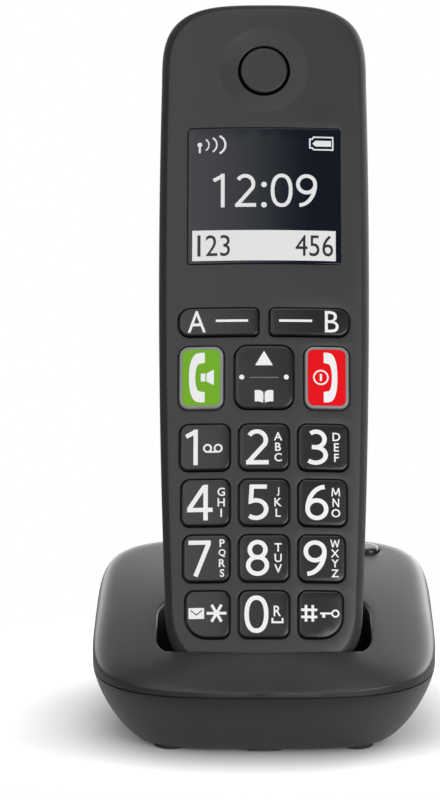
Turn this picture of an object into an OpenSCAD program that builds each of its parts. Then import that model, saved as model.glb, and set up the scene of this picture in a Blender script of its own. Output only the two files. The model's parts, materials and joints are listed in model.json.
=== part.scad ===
// Cordless telephone: a handset with large keys that stands leaning back in a charging base.
//
// The handset is drawn upright in a frame of its own: X across, Y from its face into its back, and
// Z from its foot to its top. placed() then leans it back and stands it in the base's pocket.
// The base stands on z = 0 with its front towards -Y, and row() centres the whole on the origin.

/* [Handset stack, from the foot up] */
// Bare chin under the lowest digit row
chin = 9.5; // [8:0.1:14]
// Height of a digit key
key_h = 10.9; // [9:0.1:14]
// Gap between digit rows
row_gap = 2.3; // [1.8:0.1:3]
// Gap between the digits and the call keys
call_gap = 3.8; // [2:0.1:6]
// Height of a call key
call_h = 15; // [12:0.1:19]
// Height of the rocker key
rocker_h = 15.2; // [12:0.1:19]
// Gap between the rocker and the direct keys
direct_gap = 2.5; // [1.8:0.1:4]
// Height of a direct key
direct_h = 6.6; // [6:0.1:9]
// Bare band between the direct keys and the display
band = 11; // [6:0.1:14]
// Height of the display window
window_h = 33.6; // [28:0.1:41]
// Gap between the window and the earpiece dish
dish_gap = 3.8; // [2:0.1:8]
// Radius of the earpiece dish
dish_r = 10.8; // [9:0.1:13]
// Bare brow over the earpiece dish
brow = 6.2; // [5:0.1:10]

/* [Handset across] */
// Greatest width of the handset
handset_w = 50.2; // [44:0.1:61]
// Width of a middle digit key
key_w = 11.8; // [10:0.1:13]
// Width of the rocker key
rocker_w = 13.7; // [11:0.1:15]
// Gap between key columns
column_gap = 2.1; // [1.8:0.1:3]
// Gap between the rocker and the call keys
rocker_gap = 2.4; // [1.8:0.1:4]
// Bare margin beside the keys
side_margin = 4.6; // [4.5:0.1:7]
// Width of the display window
window_w = 36.4; // [30:0.1:40]
// Depth from the face to the back
handset_t = 26; // [25.5:0.1:31]
// Radius of the crown across the face
face_r = 160; // [120:5:400]
// Radius of the crown across the back
back_r = 64; // [55:1:200]
// Wall of the handset covers
wall = 1.8; // [1.4:0.1:2.2]

/* [Keys] */
// Height of a key top over the face
key_rise = 0.8; // [0.4:0.1:1.2]
// Travel of a key
key_travel = 0.6; // [0.3:0.1:0.8]
// Clearance round a key
key_clearance = 0.25; // [0.15:0.05:0.4]
// Overhang of a key's flange under the cover
flange = 0.6; // [0.4:0.05:0.65]

/* [Battery] */
// Diameter of a cell
cell_d = 10.5; // [8.8:0.1:10.8]
// Length of a cell
cell_l = 44.5; // [37:0.5:48]
// Thickness of the battery cover
door_t = 1.6; // [1.2:0.1:2]
// Height of the battery cover's lower edge over the foot
door_v = 28.5; // [28:0.5:34]

/* [Base] */
// Width of the base at its seam
base_w = 81.4; // [76:1:98]
// Depth of the base at its seam
base_d = 82; // [78:1:99]
// Height of the seam between the base shells
seam_z = 17.3; // [16.5:0.1:19]
// Wall of the base shells
base_wall = 2; // [1.6:0.1:2.4]
// How far the lower shell draws in towards the floor at its sides and back
bowl = 9.8; // [8:0.1:12]
// How far the lower shell draws in towards the floor at its front
front_bowl = 12.5; // [9:0.1:14]
// Lean of the handset from upright
lean = 24; // [20:1:27]
// Depth of the handset's foot behind the front lip
lip_over = 6.3; // [5:0.1:9]
// Distance of the lip from the base's front
lip_inset = 13.1; // [12:0.1:16]
// Rise of the deck towards the back, per millimetre
deck_slope = 0.15; // [0.12:0.005:0.2]
// Clearance round the handset in its pocket
pocket_gap = 0.9; // [0.6:0.1:1.4]
// Width of the shoulder that rounds the deck into the sides and the back
shoulder = 5.5; // [4:0.5:9]
// Gap between the base and the floor
floor_gap = 1; // [0.8:0.1:2]
// Diameter of a foot
foot_d = 8; // [6:0.5:10]

/* [Hidden] */
$fn = 48;

// ---- Handset sizes that follow from the stack ----
row_pitch = key_h + row_gap;
digits_v = [for (r = [0:3]) chin + key_h / 2 + r * row_pitch];
call_v = chin + 4 * key_h + 3 * row_gap + call_gap;
direct_v = call_v + rocker_h + direct_gap;
window_v = direct_v + direct_h + band;
ear_v = window_v + window_h + dish_gap + dish_r;
handset_l = ear_v + dish_r + brow;
middle_v = handset_l / 2;

// ---- The handset's form ----
waist_v = 0.64 * handset_l;
side_r = 1900;
top_end = [20, 3.5];         // height of the rounded end and the exponent of its curve
foot_end = [18, 2.8];
end_steps = 9;
side_steps = 4;
rim = [1.6, 1.9];             // how far the face's edge rounds in, and back
seam_w = 12;                  // depth of the seam between the covers
groove = [0.35, 0.6];         // height and depth of the groove along a seam
back_round = 9;               // how far the back's edge rounds in
foot_taper = 2.5;             // how much thinner the foot is than the top

// ---- Depths inside the handset ----
snug = 0.1;                   // clearance between pieces of one body
key_base = wall + 2.4;        // underside of the keys at rest
mat = [key_base + key_travel + snug, 1.3];
board = [mat[0] + mat[1], 1.2];
board_back = board[0] + board[1];
bay_clear = 0.4;
cell_w = handset_t - foot_taper - 1 - door_t - bay_clear - cell_d / 2;
bay_floor = cell_w - cell_d / 2 - bay_clear;
bay_w = 2 * cell_d + 3 * bay_clear;
bay_end = 1.8;                // room for a contact at each end of a cell
bay_v = door_v + 5;
bay_l = cell_l + 2 * bay_end;
door_w = bay_w + 15;
door_l = bay_l + 10;
door_gap = 0.2;
door_corner = 4;
hook_w = 4;                   // width and thickness of the cover's hooks, and their place across
hook_t = 1.2;
hook_u = 5;
door_shelf = handset_t - foot_taper - door_t - 4.2;

// ---- Fastening ----
screw_r = 1.1;
head = [2.1, 1.6];            // radius and height of a screw's head
boss_r = 2.3;
head_seat = seam_w + 4;
handset_bosses = [[-12, 5.9], [12, 5.9], [-16.5, handset_l - 12], [16.5, handset_l - 12]];

// ---- The base's form ----
bottom_z = floor_gap;
bowl_curve = 1.35;            // exponents of the curves that round the base
shoulder_power = 5;
slope_power = 1.3;
front_power = 3.45;           // the plan's corners are rounder at the front
back_power = 4.6;
plan_turns = [0:6:354];
rise = 1.1;                   // upright band over the seam
pocket_corner = 8;
pocket_front_r = 110;
stand_gap = 0.3;              // clearance under the handset's foot
under_pocket = 1.5;           // clearance between the pocket and the lower shell
lip_y = -base_d / 2 + lip_inset;
handset_y = lip_y - lip_over * sin(lean) + pocket_gap * cos(lean);
handset_z = bottom_z + base_wall + under_pocket
    + (handset_t + pocket_gap + base_wall) * sin(lean) + (stand_gap + base_wall) * cos(lean);
lip_z = handset_z + lip_over * cos(lean) + pocket_gap * sin(lean);

// ---- Inside the base ----
base_board_z = 6;
base_board_t = 1.2;
base_board_w = 48;
base_board_y = [2, base_d / 2 - 10];
socket_z = base_board_z + base_board_t;
socket_front = base_d / 2 - 4.3;
socket_deep = 13;
socket_h = 9.5;
socket_gap = 0.2;
phone_plug_w = 9.8;
power_plug_w = 7.8;
phone_socket_x = 9;
power_socket_x = -9;
base_bosses = [[-29.4, -9], [29.4, -9], [-29.4, 14], [29.4, 14]];
base_boss_meet = 7.2;
feet_xy = [[-21.8, -22.3], [21.8, -22.3], [-21.8, 24], [21.8, 24]];
pad_uv = [9, 15];             // place of a charging pad across the foot: u and depth
pad_v = 0.6;                  // height of a pad's face over the foot's tip
pad = [3.3, 3.9, 2.9];        // width, depth and thickness of a pad
pin_r = 1.5;
pin_travel = 1;
pin_gap = 0.25;               // clearance between a pin and its pad
page_xy = [23, 30.5];
page_stem_xy = [21, 28];
page_size = [11, 5];
page_travel = 0.8;
page_rise = 0.9;
page_switch_h = 4.5;

// ---- Colours ----
graphite = [0.20, 0.205, 0.21];
key_black = [0.16, 0.165, 0.17];
steel = [0.72, 0.73, 0.75];
green_board = [0.05, 0.26, 0.14];
rubber = [0.10, 0.10, 0.105];
cell_blue = [0.20, 0.30, 0.42];

// ---- Keys: name, [u, v] of the centre, [width, height], corner radii and colour ----
// Radii run foot left, foot right, top right, top left.
key_corner = 1.9;
hook_corner = 5;              // the foot rows' outer corner follows the handset's foot

function outer_edge(v) = half_width(v) - side_margin;

function digit_key(name, column, row) =
    let (v = digits_v[row],
         inner = key_w / 2 + column_gap,
         w = column == 0 ? key_w : outer_edge(v) - inner,
         hook = row == 0 ? hook_corner : key_corner)
    [name, [column * (inner + w / 2), v], [w, key_h],
     [column < 0 ? hook : key_corner, column > 0 ? hook : key_corner, key_corner, key_corner],
     key_black];

function call_key(name, side, tint) =
    let (v = call_v + call_h / 2, inner = rocker_w / 2 + rocker_gap, w = outer_edge(v) - inner + 0.2)
    [name, [side * (inner + w / 2), v], [w, call_h], [2.2, 2.2, 2.2, 2.2], tint];

function direct_key(name, side) =
    let (v = direct_v + direct_h / 2, w = outer_edge(v) - column_gap / 2 + 0.1)
    [name, [side * (column_gap / 2 + w / 2), v], [w, direct_h],
     side < 0 ? [2.6, 1, 1, 2.6] : [1, 2.6, 2.6, 1], key_black];

keys = concat(
    [for (i = [0:8]) digit_key(str("key_", i + 1), i % 3 - 1, 3 - floor(i / 3))],
    [digit_key("key_star", -1, 0), digit_key("key_0", 0, 0), digit_key("key_hash", 1, 0)],
    [call_key("key_talk", -1, [0.46, 0.69, 0.16]), call_key("key_end", 1, [0.89, 0.04, 0.13])],
    [["key_navigation", [0, call_v + rocker_h / 2], [rocker_w, rocker_h], [2.8, 2.8, 2.8, 2.8],
      key_black]],
    [direct_key("key_a", -1), direct_key("key_b", 1)]);

// ---- Helpers ----
function mix(a, b, t) = a + (b - a) * t;
function sign_power(x, p) = sign(x) * pow(abs(x), p);
function face_drop(u) = face_r - sqrt(face_r * face_r - u * u);
function back_drop(u) = u * u / (2 * back_r);
function grow_radii(radii, grow) = [for (r = radii) r + grow];

// A loft through rings of equally many points, with a flat cap on each end.
module skin(rings) {
    n = len(rings[0]);
    m = len(rings);
    polyhedron(
        points = [for (r = rings) for (p = r) p],
        faces = concat(
            [[for (i = [0:n - 1]) i]],
            [for (j = [0:m - 2]) for (i = [0:n - 1]) let (a = j * n + i, b = j * n + (i + 1) % n)
                each [[a, a + n, b], [b, a + n, b + n]]],
            [[for (i = [n - 1:-1:0]) (m - 1) * n + i]]),
        convexity = 12);
}

// A flat shape drawn in the face's plane, as a slab from depth w0 to depth w1.
module slab(w0, w1) {
    translate([0, w1, 0]) rotate([90, 0, 0]) linear_extrude(height = w1 - w0) children();
}

// Everything deeper than the crowned face lowered by depth.
module behind_face(depth) {
    translate([0, face_r + depth, -40]) cylinder(r = face_r, h = handset_l + 80, $fn = 360);
}

// A rectangle centred on the origin with a radius for each corner, foot left first and then round.
module rounded(size, radii) {
    a = size[0] / 2;
    b = size[1] / 2;
    places = [[-1, -1], [1, -1], [1, 1], [-1, 1]];
    polygon([for (i = [0:3]) let (s = places[i], r = radii[i],
                                  beside = [s[0] * a, s[1] * (b - r)],
                                  along = [s[0] * (a - r), s[1] * b])
        each (i % 2 == 0 ? [beside, along] : [along, beside])]);
    for (i = [0:3])
        translate([places[i][0] * (a - radii[i]), places[i][1] * (b - radii[i])])
            circle(r = radii[i]);
}

module even(size, r) {
    rounded(size, [r, r, r, r]);
}

// ---- The handset's outline ----
function half_width(v) = handset_w / 2 - pow(v - waist_v, 2) / (2 * side_r);

// A point on a rounded end as [u, distance from the tip]. t goes from 0 at the side to 90 at the tip.
function end_curve(t, end, v) =
    [half_width(v) * pow(cos(t), 2 / end[1]), end[0] * (1 - pow(sin(t), 2 / end[1]))];

// One side of the outline from foot to top, as [u, v].
function right_side() = concat(
    [for (i = [end_steps:-1:0]) let (p = end_curve(90 * i / end_steps, foot_end, foot_end[0])) p],
    [for (i = [1:side_steps]) let (v = mix(foot_end[0], handset_l - top_end[0], i / (side_steps + 1)))
        [half_width(v), v]],
    [for (i = [0:end_steps]) let (p = end_curve(90 * i / end_steps, top_end, handset_l - top_end[0]))
        [p[0], handset_l - p[1]]]);

function outline() = let (s = right_side(), n = len(s))
    concat(s, [for (i = [n - 2:-1:1]) [-s[i][0], s[i][1]]]);

// The outline drawn in by d all round, and then scaled to the share f of its size.
function drawn_in(d, f = 1) = [for (p = outline())
    [p[0] * (1 - d / (handset_w / 2)) * f, middle_v + (p[1] - middle_v) * (1 - d / middle_v) * f]];

function face_ring(d, w, f = 1) =
    [for (p = drawn_in(d, f)) [p[0], w + face_drop(p[0]) * (1 - w / seam_w), p[1]]];

function thickness(v) = handset_t - foot_taper * pow(1 - max(0, min(1, v / handset_l)), 2);

// turn goes from 0 at the seam to 90 where the back is flat.
function back_ring(inset, turn, f = 1) = [for (p = drawn_in(inset + back_round * (1 - cos(turn)), f))
    [p[0], mix(seam_w, thickness(p[1]) - inset - back_drop(p[0]), sin(turn)), p[1]]];

function level_ring(d, w) = [for (p = drawn_in(d)) [p[0], w, p[1]]];

function backwards(rings) = [for (i = [len(rings) - 1:-1:0]) rings[i]];

module front_solid() {
    skin(concat(
        [level_ring(0, seam_w)],
        [for (t = [0, 22.5, 45, 67.5, 90]) face_ring(rim[0] * (1 - cos(t)), rim[1] * (1 - sin(t)))],
        [for (f = [0.8, 0.6, 0.4, 0.2]) face_ring(rim[0], 0, f)]));
}

module front_hollow() {
    skin(concat(
        [level_ring(wall, seam_w + 1)],
        [for (t = [0, 30, 60, 90])
            face_ring(wall + rim[0] * (1 - cos(t)), wall + rim[1] * (1 - sin(t)))],
        [for (f = [0.66, 0.33]) face_ring(wall + rim[0], wall, f)]));
}

// The back, with its skin `inset` under the outer skin, from depth w0.
module back_solid(inset, w0 = seam_w) {
    skin(backwards(concat(
        w0 < seam_w ? [level_ring(inset, w0)] : [],
        [for (t = [0, 18, 36, 54, 72, 90]) back_ring(inset, t)],
        [for (f = [0.75, 0.5, 0.25]) back_ring(inset, 90, f)])));
}

module groove_ring() {
    slab(seam_w, seam_w + groove[0])
        difference() {
            polygon(drawn_in(-groove[1]));
            polygon(drawn_in(groove[1]));
        }
}

// ---- Placing ----
back_reach = max([for (t = [0:9:90]) for (p = back_ring(0, t)) p[2] * sin(lean) + p[1] * cos(lean)]);
row_y = -(handset_y + back_reach - base_d / 2) / 2;

module row() {
    translate([0, row_y, 0]) children();
}

module leant() {
    translate([0, handset_y, handset_z]) rotate([-lean, 0, 0]) children();
}

module placed() {
    row() leant() children();
}

// ---- Handset covers ----
module key_shape(key, grow) {
    translate(key[1])
        rounded([key[2][0] + 2 * grow, key[2][1] + 2 * grow], grow_radii(key[3], grow));
}

module window_shape(grow) {
    translate([0, window_v + window_h / 2])
        even([window_w + 2 * grow, window_h + 2 * grow], window_corner + max(0, grow));
}

dish_depth = 0.9;
dish_ball = (dish_r * dish_r + dish_depth * dish_depth) / (2 * dish_depth);
ear_cap_r = 5.5;
ear_hole_r = 6.55;
ear_seat = 3;
ear_base_r = 8.4;
speaker = [7.5, 2.4];
window_t = 1.2;
window_corner = 1.4;
window_ledge = 1.8;

module ear_place() {
    translate([0, 0, ear_v]) rotate([-90, 0, 0]) children();
}

module handset_front_cover() {
    color(graphite) placed() difference() {
        union() {
            difference() {
                front_solid();
                front_hollow();
            }
            intersection() {
                translate([0, 0, ear_v]) rotate([-90, 0, 0]) cylinder(r = 10, h = ear_seat);
                behind_face(0.6);
            }
            for (b = handset_bosses)
                translate([b[0], wall, b[1]]) rotate([-90, 0, 0])
                    cylinder(r = boss_r, h = seam_w - wall - snug / 2);
        }
        slab(-5, key_base + 1) for (k = keys) key_shape(k, key_clearance);
        slab(-5, key_base) window_shape(-window_ledge);
        difference() {
            slab(-5, window_t + 2.5) window_shape(snug);
            behind_face(window_t + 0.04);
        }
        translate([0, dish_depth - dish_ball, ear_v]) sphere(r = dish_ball, $fn = 96);
        ear_place() translate([0, 0, -1]) cylinder(r = ear_hole_r, h = 8);
        for (b = handset_bosses)
            translate([b[0], wall + 1.5, b[1]]) rotate([-90, 0, 0]) cylinder(r = screw_r + 0.03, h = 12);
        translate([0, seam_w - 2.5, -1]) cylinder(r = 0.6, h = 5);
    }
}

module door_shape(grow) {
    translate([0, door_v + door_l / 2])
        even([door_w + 2 * grow, door_l + 2 * grow], door_corner + grow);
}

ringer = [9, 3.6];
ringer_v = window_v + window_h * 0.75;
ringer_w = handset_t - wall - 1.3;

module grille() {
    for (i = [-2:2])
        translate([0, ringer_v + i * 2.6]) even([12 - 2 * abs(i), 1.2], 0.55);
}

module pad_block(grow, v0) {
    for (s = [-1, 1])
        translate([s * pad_uv[0] - pad[0] / 2 - grow, pad_uv[1] - pad[1] / 2 - grow, v0])
            cube([pad[0] + 2 * grow, pad[1] + 2 * grow, pad_v + pad[2] + grow - v0]);
}

module handset_rear_cover() {
    color(graphite) placed() difference() {
        union() {
            difference() {
                back_solid(0);
                back_solid(wall, seam_w - 1);
            }
            intersection() {
                union() {
                    slab(bay_floor - 1.2, handset_t) translate([0, bay_v + bay_l / 2])
                        square([bay_w + 2.6, bay_l + 2.6], center = true);
                    slab(door_shelf, door_shelf + 1.4) door_shape(1.4);
                    slab(door_shelf, handset_t) difference() {
                        door_shape(1.4);
                        door_shape(-2.4);
                    }
                    for (b = handset_bosses)
                        translate([b[0], seam_w, b[1]]) rotate([-90, 0, 0])
                            cylinder(r = boss_r + 0.9, h = handset_t);
                    translate([0, ringer_w - ringer[1], ringer_v]) rotate([-90, 0, 0])
                        cylinder(r = ringer[0] + 1.2, h = handset_t);
                    for (s = [-1, 1])
                        translate([s * pad_uv[0] - 3.2, seam_w, 0]) cube([6.4, 7, 5]);
                }
                back_solid(wall / 2, bay_floor - 2);
            }
        }
        difference() {
            slab(seam_w, handset_t + 5) door_shape(door_gap);
            back_solid(door_t + door_gap);
        }
        hinge_hooks(1);
        slab(bay_floor, handset_t + 5) translate([0, bay_v + bay_l / 2])
            square([bay_w, bay_l], center = true);
        for (b = handset_bosses) {
            translate([b[0], seam_w - 1, b[1]]) rotate([-90, 0, 0]) cylinder(r = screw_r + 0.15, h = 12);
            translate([b[0], head_seat, b[1]]) rotate([-90, 0, 0]) cylinder(r = head[0] + 0.2, h = 20);
        }
        translate([0, ringer_w - ringer[1] - 1, ringer_v]) rotate([-90, 0, 0])
            cylinder(r = ringer[0] + snug, h = ringer[1] + 1 + snug);
        slab(ringer_w, handset_t + 2) grille();
        pad_block(snug / 2, -1);
        groove_ring();
    }
}

// The tongues that hook the battery cover's lower edge under the rear cover, or the slots round
// them when room is 1. Each has a tongue and a foot that joins it to the cover's inside.
module hinge_hooks(room) {
    under = thickness(door_v) - wall - 0.4;
    width = hook_w + 0.6 * room;
    for (s = [-1, 1]) translate([s * hook_u - width / 2, under - hook_t, door_v]) {
        translate([0, -1.1 * room, -0.9 - 0.5 * room])
            cube([width, hook_t + 1.25 * room, 4 + 2 * room]);
        translate([0, 0, 0.3 - 0.5 * room])
            cube([width, hook_t + wall + 0.4 - door_t * 0.6 + 3 * room, 2.8 + 2 * room]);
    }
}

module battery_cover() {
    color(graphite) placed() union() {
        difference() {
            intersection() {
                back_solid(0);
                slab(seam_w, handset_t + 5) door_shape(0);
            }
            back_solid(door_t);
            slab(handset_t - foot_taper - 0.5, handset_t + 5)
                translate([0, door_v + door_l - 3.5]) even([11, 2.4], 1.1);
        }
        hinge_hooks(0);
    }
}

module display_window() {
    color([0.03, 0.04, 0.06]) placed() difference() {
        intersection() {
            slab(-5, 6) window_shape(0);
            behind_face(0);
        }
        behind_face(window_t);
    }
}

module display_module() {
    color([0.55, 0.62, 0.66]) placed()
        slab(key_base - 0.6, board[0]) translate([0, window_v + window_h / 2])
            square([window_w - 1.5, window_h - 3], center = true);
}

module earpiece_cap() {
    color(key_black) placed() ear_place() difference() {
        union() {
            translate([0, 0, 0.35]) cylinder(r = ear_cap_r, h = ear_seat - 0.2);
            translate([0, 0, ear_seat + snug / 2]) cylinder(r = ear_base_r, h = 0.7);
        }
        for (a = [45:90:315]) rotate([0, 0, a])
            translate([(ear_cap_r + ear_hole_r) / 2, 0, ear_seat - 0.5]) cylinder(r = 0.45, h = 3);
    }
}

module earpiece_speaker() {
    color(steel) placed() ear_place() translate([0, 0, board[0] - speaker[1]])
        cylinder(r = speaker[0], h = speaker[1]);
}

module ringer_speaker() {
    color(steel) placed() translate([0, ringer_w - ringer[1], ringer_v]) rotate([-90, 0, 0])
        cylinder(r = ringer[0], h = ringer[1]);
}

module microphone() {
    color(steel) placed() translate([0, seam_w - 2.5, wall + 0.2]) cylinder(r = 2, h = 2.6);
}

module board_shape() {
    difference() {
        polygon(drawn_in(wall + 1.6));
        for (b = handset_bosses) translate(b) circle(r = boss_r + 0.3);
    }
}

module main_board() {
    color(green_board) placed() slab(board[0], board_back) board_shape();
}

module radio_shield() {
    color(steel) placed() slab(board_back, board_back + 2.2) translate([0, direct_v + 24])
        even([26, 20], 1);
}

module keypad_mat() {
    color(rubber) placed() slab(mat[0], board[0]) intersection() {
        polygon(drawn_in(wall + 1));
        translate([-handset_w / 2, chin - 1]) square([handset_w, direct_v + direct_h - chin + 2]);
    }
}

module cell(side, up) {
    color(cell_blue) placed() translate([side * (cell_d + bay_clear) / 2, cell_w, bay_v + bay_l / 2])
        rotate([up ? 0 : 180, 0, 0]) {
            translate([0, 0, -cell_l / 2]) cylinder(r = cell_d / 2, h = cell_l - 1);
            translate([0, 0, cell_l / 2 - 1]) cylinder(r = cell_d / 4, h = 1);
        }
}

module battery_left() {
    cell(-1, true);
}

module battery_right() {
    cell(1, false);
}

module battery_contacts() {
    plate = [8, 7, 0.5];
    spring = [3, bay_end - plate[2] - snug];
    color(steel) placed() for (side = [-1, 1]) for (end = [-1, 1]) {
        translate([side * (cell_d + bay_clear) / 2, cell_w, bay_v + bay_l / 2])
            rotate([end > 0 ? 0 : 180, 0, 0]) translate([0, 0, bay_l / 2 - plate[2]]) {
                translate([-plate[0] / 2, -plate[1] / 2, 0]) cube(plate);
                translate([0, 0, -spring[1]]) cylinder(r = spring[0], h = spring[1]);
            }
    }
}

module handset_charge_pads() {
    color(steel) placed() pad_block(0, pad_v);
}

module handset_screws() {
    color(steel) placed() for (b = handset_bosses)
        translate([b[0], head_seat, b[1]]) rotate([-90, 0, 0]) {
            cylinder(r = head[0], h = head[1]);
            translate([0, 0, wall + 2.5 - head_seat]) cylinder(r = screw_r, h = head_seat - wall - 2.5);
        }
}

// ---- Keys ----
top_r = 70;                   // crown of a key's top along the handset

module key_cap(key) {
    rock = key[0] == "key_navigation" ? 0.6 : 0;
    outermost = abs(key[1][0]) + key[2][0] / 2 + flange;
    color(key[4]) placed() {
        intersection() {
            slab(-5, key_base) key_shape(key, 0);
            behind_face(-key_rise);
            translate([-40, top_r - key_rise, key[1][1]]) rotate([0, 90, 0])
                cylinder(r = top_r, h = 80, $fn = 360);
        }
        slab(wall + 0.15 + rock + face_drop(outermost), key_base) key_shape(key, flange);
    }
}

// ---- The base's form ----
function plan_point(t, inset) = let (power = sin(t) < 0 ? front_power : back_power)
    [(base_w / 2 - inset) * sign_power(cos(t), 2 / power),
     (base_d / 2 - inset) * sign_power(sin(t), 2 / power)];
function frontness(t) = pow(max(0, -sin(t)), 4);
function plan(inset) = [for (t = plan_turns) plan_point(t, inset)];
function raised(ring, z) = [for (p = ring) [p[0], p[1], z]];
function deck(y) = lip_z + (y - lip_y) * deck_slope;

// One ring of the upper shell. turn goes from 0 over the seam to 90 at the edge of the deck. The
// sides and the back stand steeply, and the front is a broad slope that ends at the lip.
function shoulder_ring(inset, turn, f = 1) = [for (t = plan_turns)
    let (front = frontness(t),
         power = mix(shoulder_power, slope_power, front),
         p = plan_point(t, inset + mix(shoulder, lip_inset, front) * (1 - pow(cos(turn), 2 / power))) * f)
    [p[0], p[1], mix(seam_z + rise, deck(p[1]) - inset, pow(sin(turn), 2 / power))]];

module upper_solid(inset, z0) {
    skin(concat(
        [raised(plan(inset), z0)],
        [for (t = [0:11.25:90]) shoulder_ring(inset, t)],
        [for (f = [0.8, 0.5]) shoulder_ring(inset, 90, f)]));
}

function bowl_ring(inset, turn) = [for (t = plan_turns)
    let (draw = mix(bowl, front_bowl, frontness(t)) - inset / 2,
         p = plan_point(t, inset + draw * (1 - pow(cos(turn), 2 / bowl_curve))))
    [p[0], p[1], seam_z - (seam_z - bottom_z - inset) * pow(sin(turn), 2 / bowl_curve)]];

module lower_solid(inset, z1) {
    skin(concat(
        [for (t = [90:-10:0]) bowl_ring(inset, t)],
        z1 > seam_z ? [raised(plan(inset), z1)] : []));
}

// The pocket's section across the leaning handset: X across, Y into its depth. Its rear rim is
// about as high up the handset as the handset is thick.
module pocket_section(grow) {
    foot_t = thickness(handset_t);
    w = handset_w + 2 * grow;
    t = foot_t + 2 * pocket_gap + 2 * grow;
    intersection() {
        translate([0, foot_t / 2]) even([w, t], pocket_corner + grow);
        translate([0, pocket_front_r - pocket_gap]) circle(r = pocket_front_r + grow, $fn = 240);
    }
}

module base_upper_shell() {
    color(graphite) {
        difference() {
            union() {
                row() difference() {
                    upper_solid(0, seam_z);
                    upper_solid(base_wall, seam_z - 1);
                }
                intersection() {
                    union() {
                        placed() translate([0, 0, -stand_gap - base_wall]) linear_extrude(height = 60)
                            pocket_section(base_wall);
                        row() for (b = base_bosses)
                            translate([b[0], b[1], base_boss_meet]) cylinder(r = 2.6, h = 40);
                    }
                    row() upper_solid(base_wall / 2, 0);
                }
            }
            placed() translate([0, 0, -stand_gap]) linear_extrude(height = 90) pocket_section(0);
            placed() for (s = [-1, 1])
                translate([s * pad_uv[0], pad_uv[1], -6]) cylinder(r = pin_r + 0.25, h = 7);
            row() for (b = base_bosses)
                translate([b[0], b[1], base_boss_meet - 1]) cylinder(r = screw_r + 0.03, h = 11);
            row() translate([page_xy[0], page_xy[1], seam_z + 8]) linear_extrude(height = 30)
                even([page_size[0] + 2 * key_clearance, page_size[1] + 2 * key_clearance],
                     page_size[1] / 2 + key_clearance - 0.01);
        }
    }
}

module base_lower_shell() {
    color(graphite) row() difference() {
        union() {
            difference() {
                lower_solid(0, 0);
                lower_solid(base_wall, seam_z + 1);
            }
            intersection() {
                union() {
                    for (b = base_bosses)
                        translate([b[0], b[1], 0]) cylinder(r = 3.4, h = base_boss_meet - snug / 2);
                    for (s = [-1, 1]) for (y = [base_board_y[0] + 3, base_board_y[1] - 3])
                        translate([s * 10, y, 0]) cylinder(r = 2, h = base_board_z);
                }
                lower_solid(base_wall / 2, seam_z + 1);
            }
            translate([-4, -28.6, 0.5]) cube([8, 7, 2]);
        }
        for (b = base_bosses) {
            translate([b[0], b[1], -1]) cylinder(r = screw_r + 0.15, h = 12);
            translate([b[0], b[1], -1]) cylinder(r = head[0] + 0.2, h = bottom_z + 1 + head[1] + 0.6);
        }
        leant() translate([0, 0, -stand_gap - base_wall - snug]) linear_extrude(height = 60)
            pocket_section(base_wall + snug);
        for (f = feet_xy) translate([f[0], f[1], -1]) cylinder(r = foot_d / 2 + snug, h = bottom_z + 1.8);
        translate([0, 0, seam_z - groove[0]]) linear_extrude(height = 1) difference() {
            polygon(plan(-groove[1]));
            polygon(plan(groove[1]));
        }
        for (k = [[phone_socket_x, phone_plug_w], [power_socket_x, power_plug_w]])
            translate([k[0] - k[1] / 2 - 1.5 - socket_gap, base_d / 2 - 16, socket_z - socket_gap])
                cube([k[1] + 3 + 2 * socket_gap, 20, socket_h + 2 * socket_gap]);
    }
}

module base_board() {
    color(green_board) row() translate([0, 0, base_board_z]) linear_extrude(height = base_board_t)
        translate([0, (base_board_y[0] + base_board_y[1]) / 2])
            even([base_board_w, base_board_y[1] - base_board_y[0]], 1);
}

// A modular socket with its mouth at the back: a block round a plug's cavity with a latch slot.
module modular_socket(plug_w) {
    w = plug_w + 3;
    difference() {
        translate([-w / 2, -socket_deep, 0]) cube([w, socket_deep, socket_h]);
        translate([-plug_w / 2, 1.5 - socket_deep, socket_h - 8]) cube([plug_w, socket_deep, 6.6]);
        translate([-2, 1.5 - socket_deep, socket_h - 9]) cube([4, socket_deep, 2]);
    }
}

module phone_socket() {
    color(rubber) row() translate([phone_socket_x, socket_front, socket_z]) modular_socket(phone_plug_w);
}

module power_socket() {
    color(rubber) row() translate([power_socket_x, socket_front, socket_z]) modular_socket(power_plug_w);
}

module paging_switch() {
    color(key_black) row() translate([page_stem_xy[0] - 3, page_stem_xy[1] - 3, socket_z])
        cube([6, 6, page_switch_h]);
}

module paging_key() {
    under = deck(page_xy[1]) - base_wall;
    stem_z = socket_z + page_switch_h + page_travel + 0.15;
    color(key_black) row() translate([page_xy[0], page_xy[1], 0]) {
        translate([0, 0, under - 2]) linear_extrude(height = base_wall + 2 + page_rise)
            even(page_size, page_size[1] / 2 - 0.01);
        translate([0, 0, under - 2.6]) linear_extrude(height = 1.6)
            even([page_size[0] + 2, page_size[1] + 2], 2);
        translate([page_stem_xy[0] - page_xy[0], page_stem_xy[1] - page_xy[1], stem_z])
            cylinder(r = 1.5, h = under - 2 - stem_z);
    }
}

module charge_pin(side) {
    color(steel) placed() translate([side * pad_uv[0], pad_uv[1], 0]) {
        translate([0, 0, -4.5]) cylinder(r = pin_r, h = 4.5 + pad_v - pin_gap);
        translate([0, 0, -stand_gap - base_wall - 0.15 - 0.8]) cylinder(r = pin_r + 0.8, h = 0.8);
    }
}

module charge_pin_left() {
    charge_pin(-1);
}

module charge_pin_right() {
    charge_pin(1);
}

module base_feet() {
    color(rubber) row() for (f = feet_xy)
        translate([f[0], f[1], 0]) cylinder(r = foot_d / 2, h = bottom_z + 0.8);
}

module base_screws() {
    color(steel) row() for (b = base_bosses) translate([b[0], b[1], bottom_z + 0.6]) {
        cylinder(r = head[0], h = head[1]);
        cylinder(r = screw_r, h = 12);
    }
}

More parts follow.
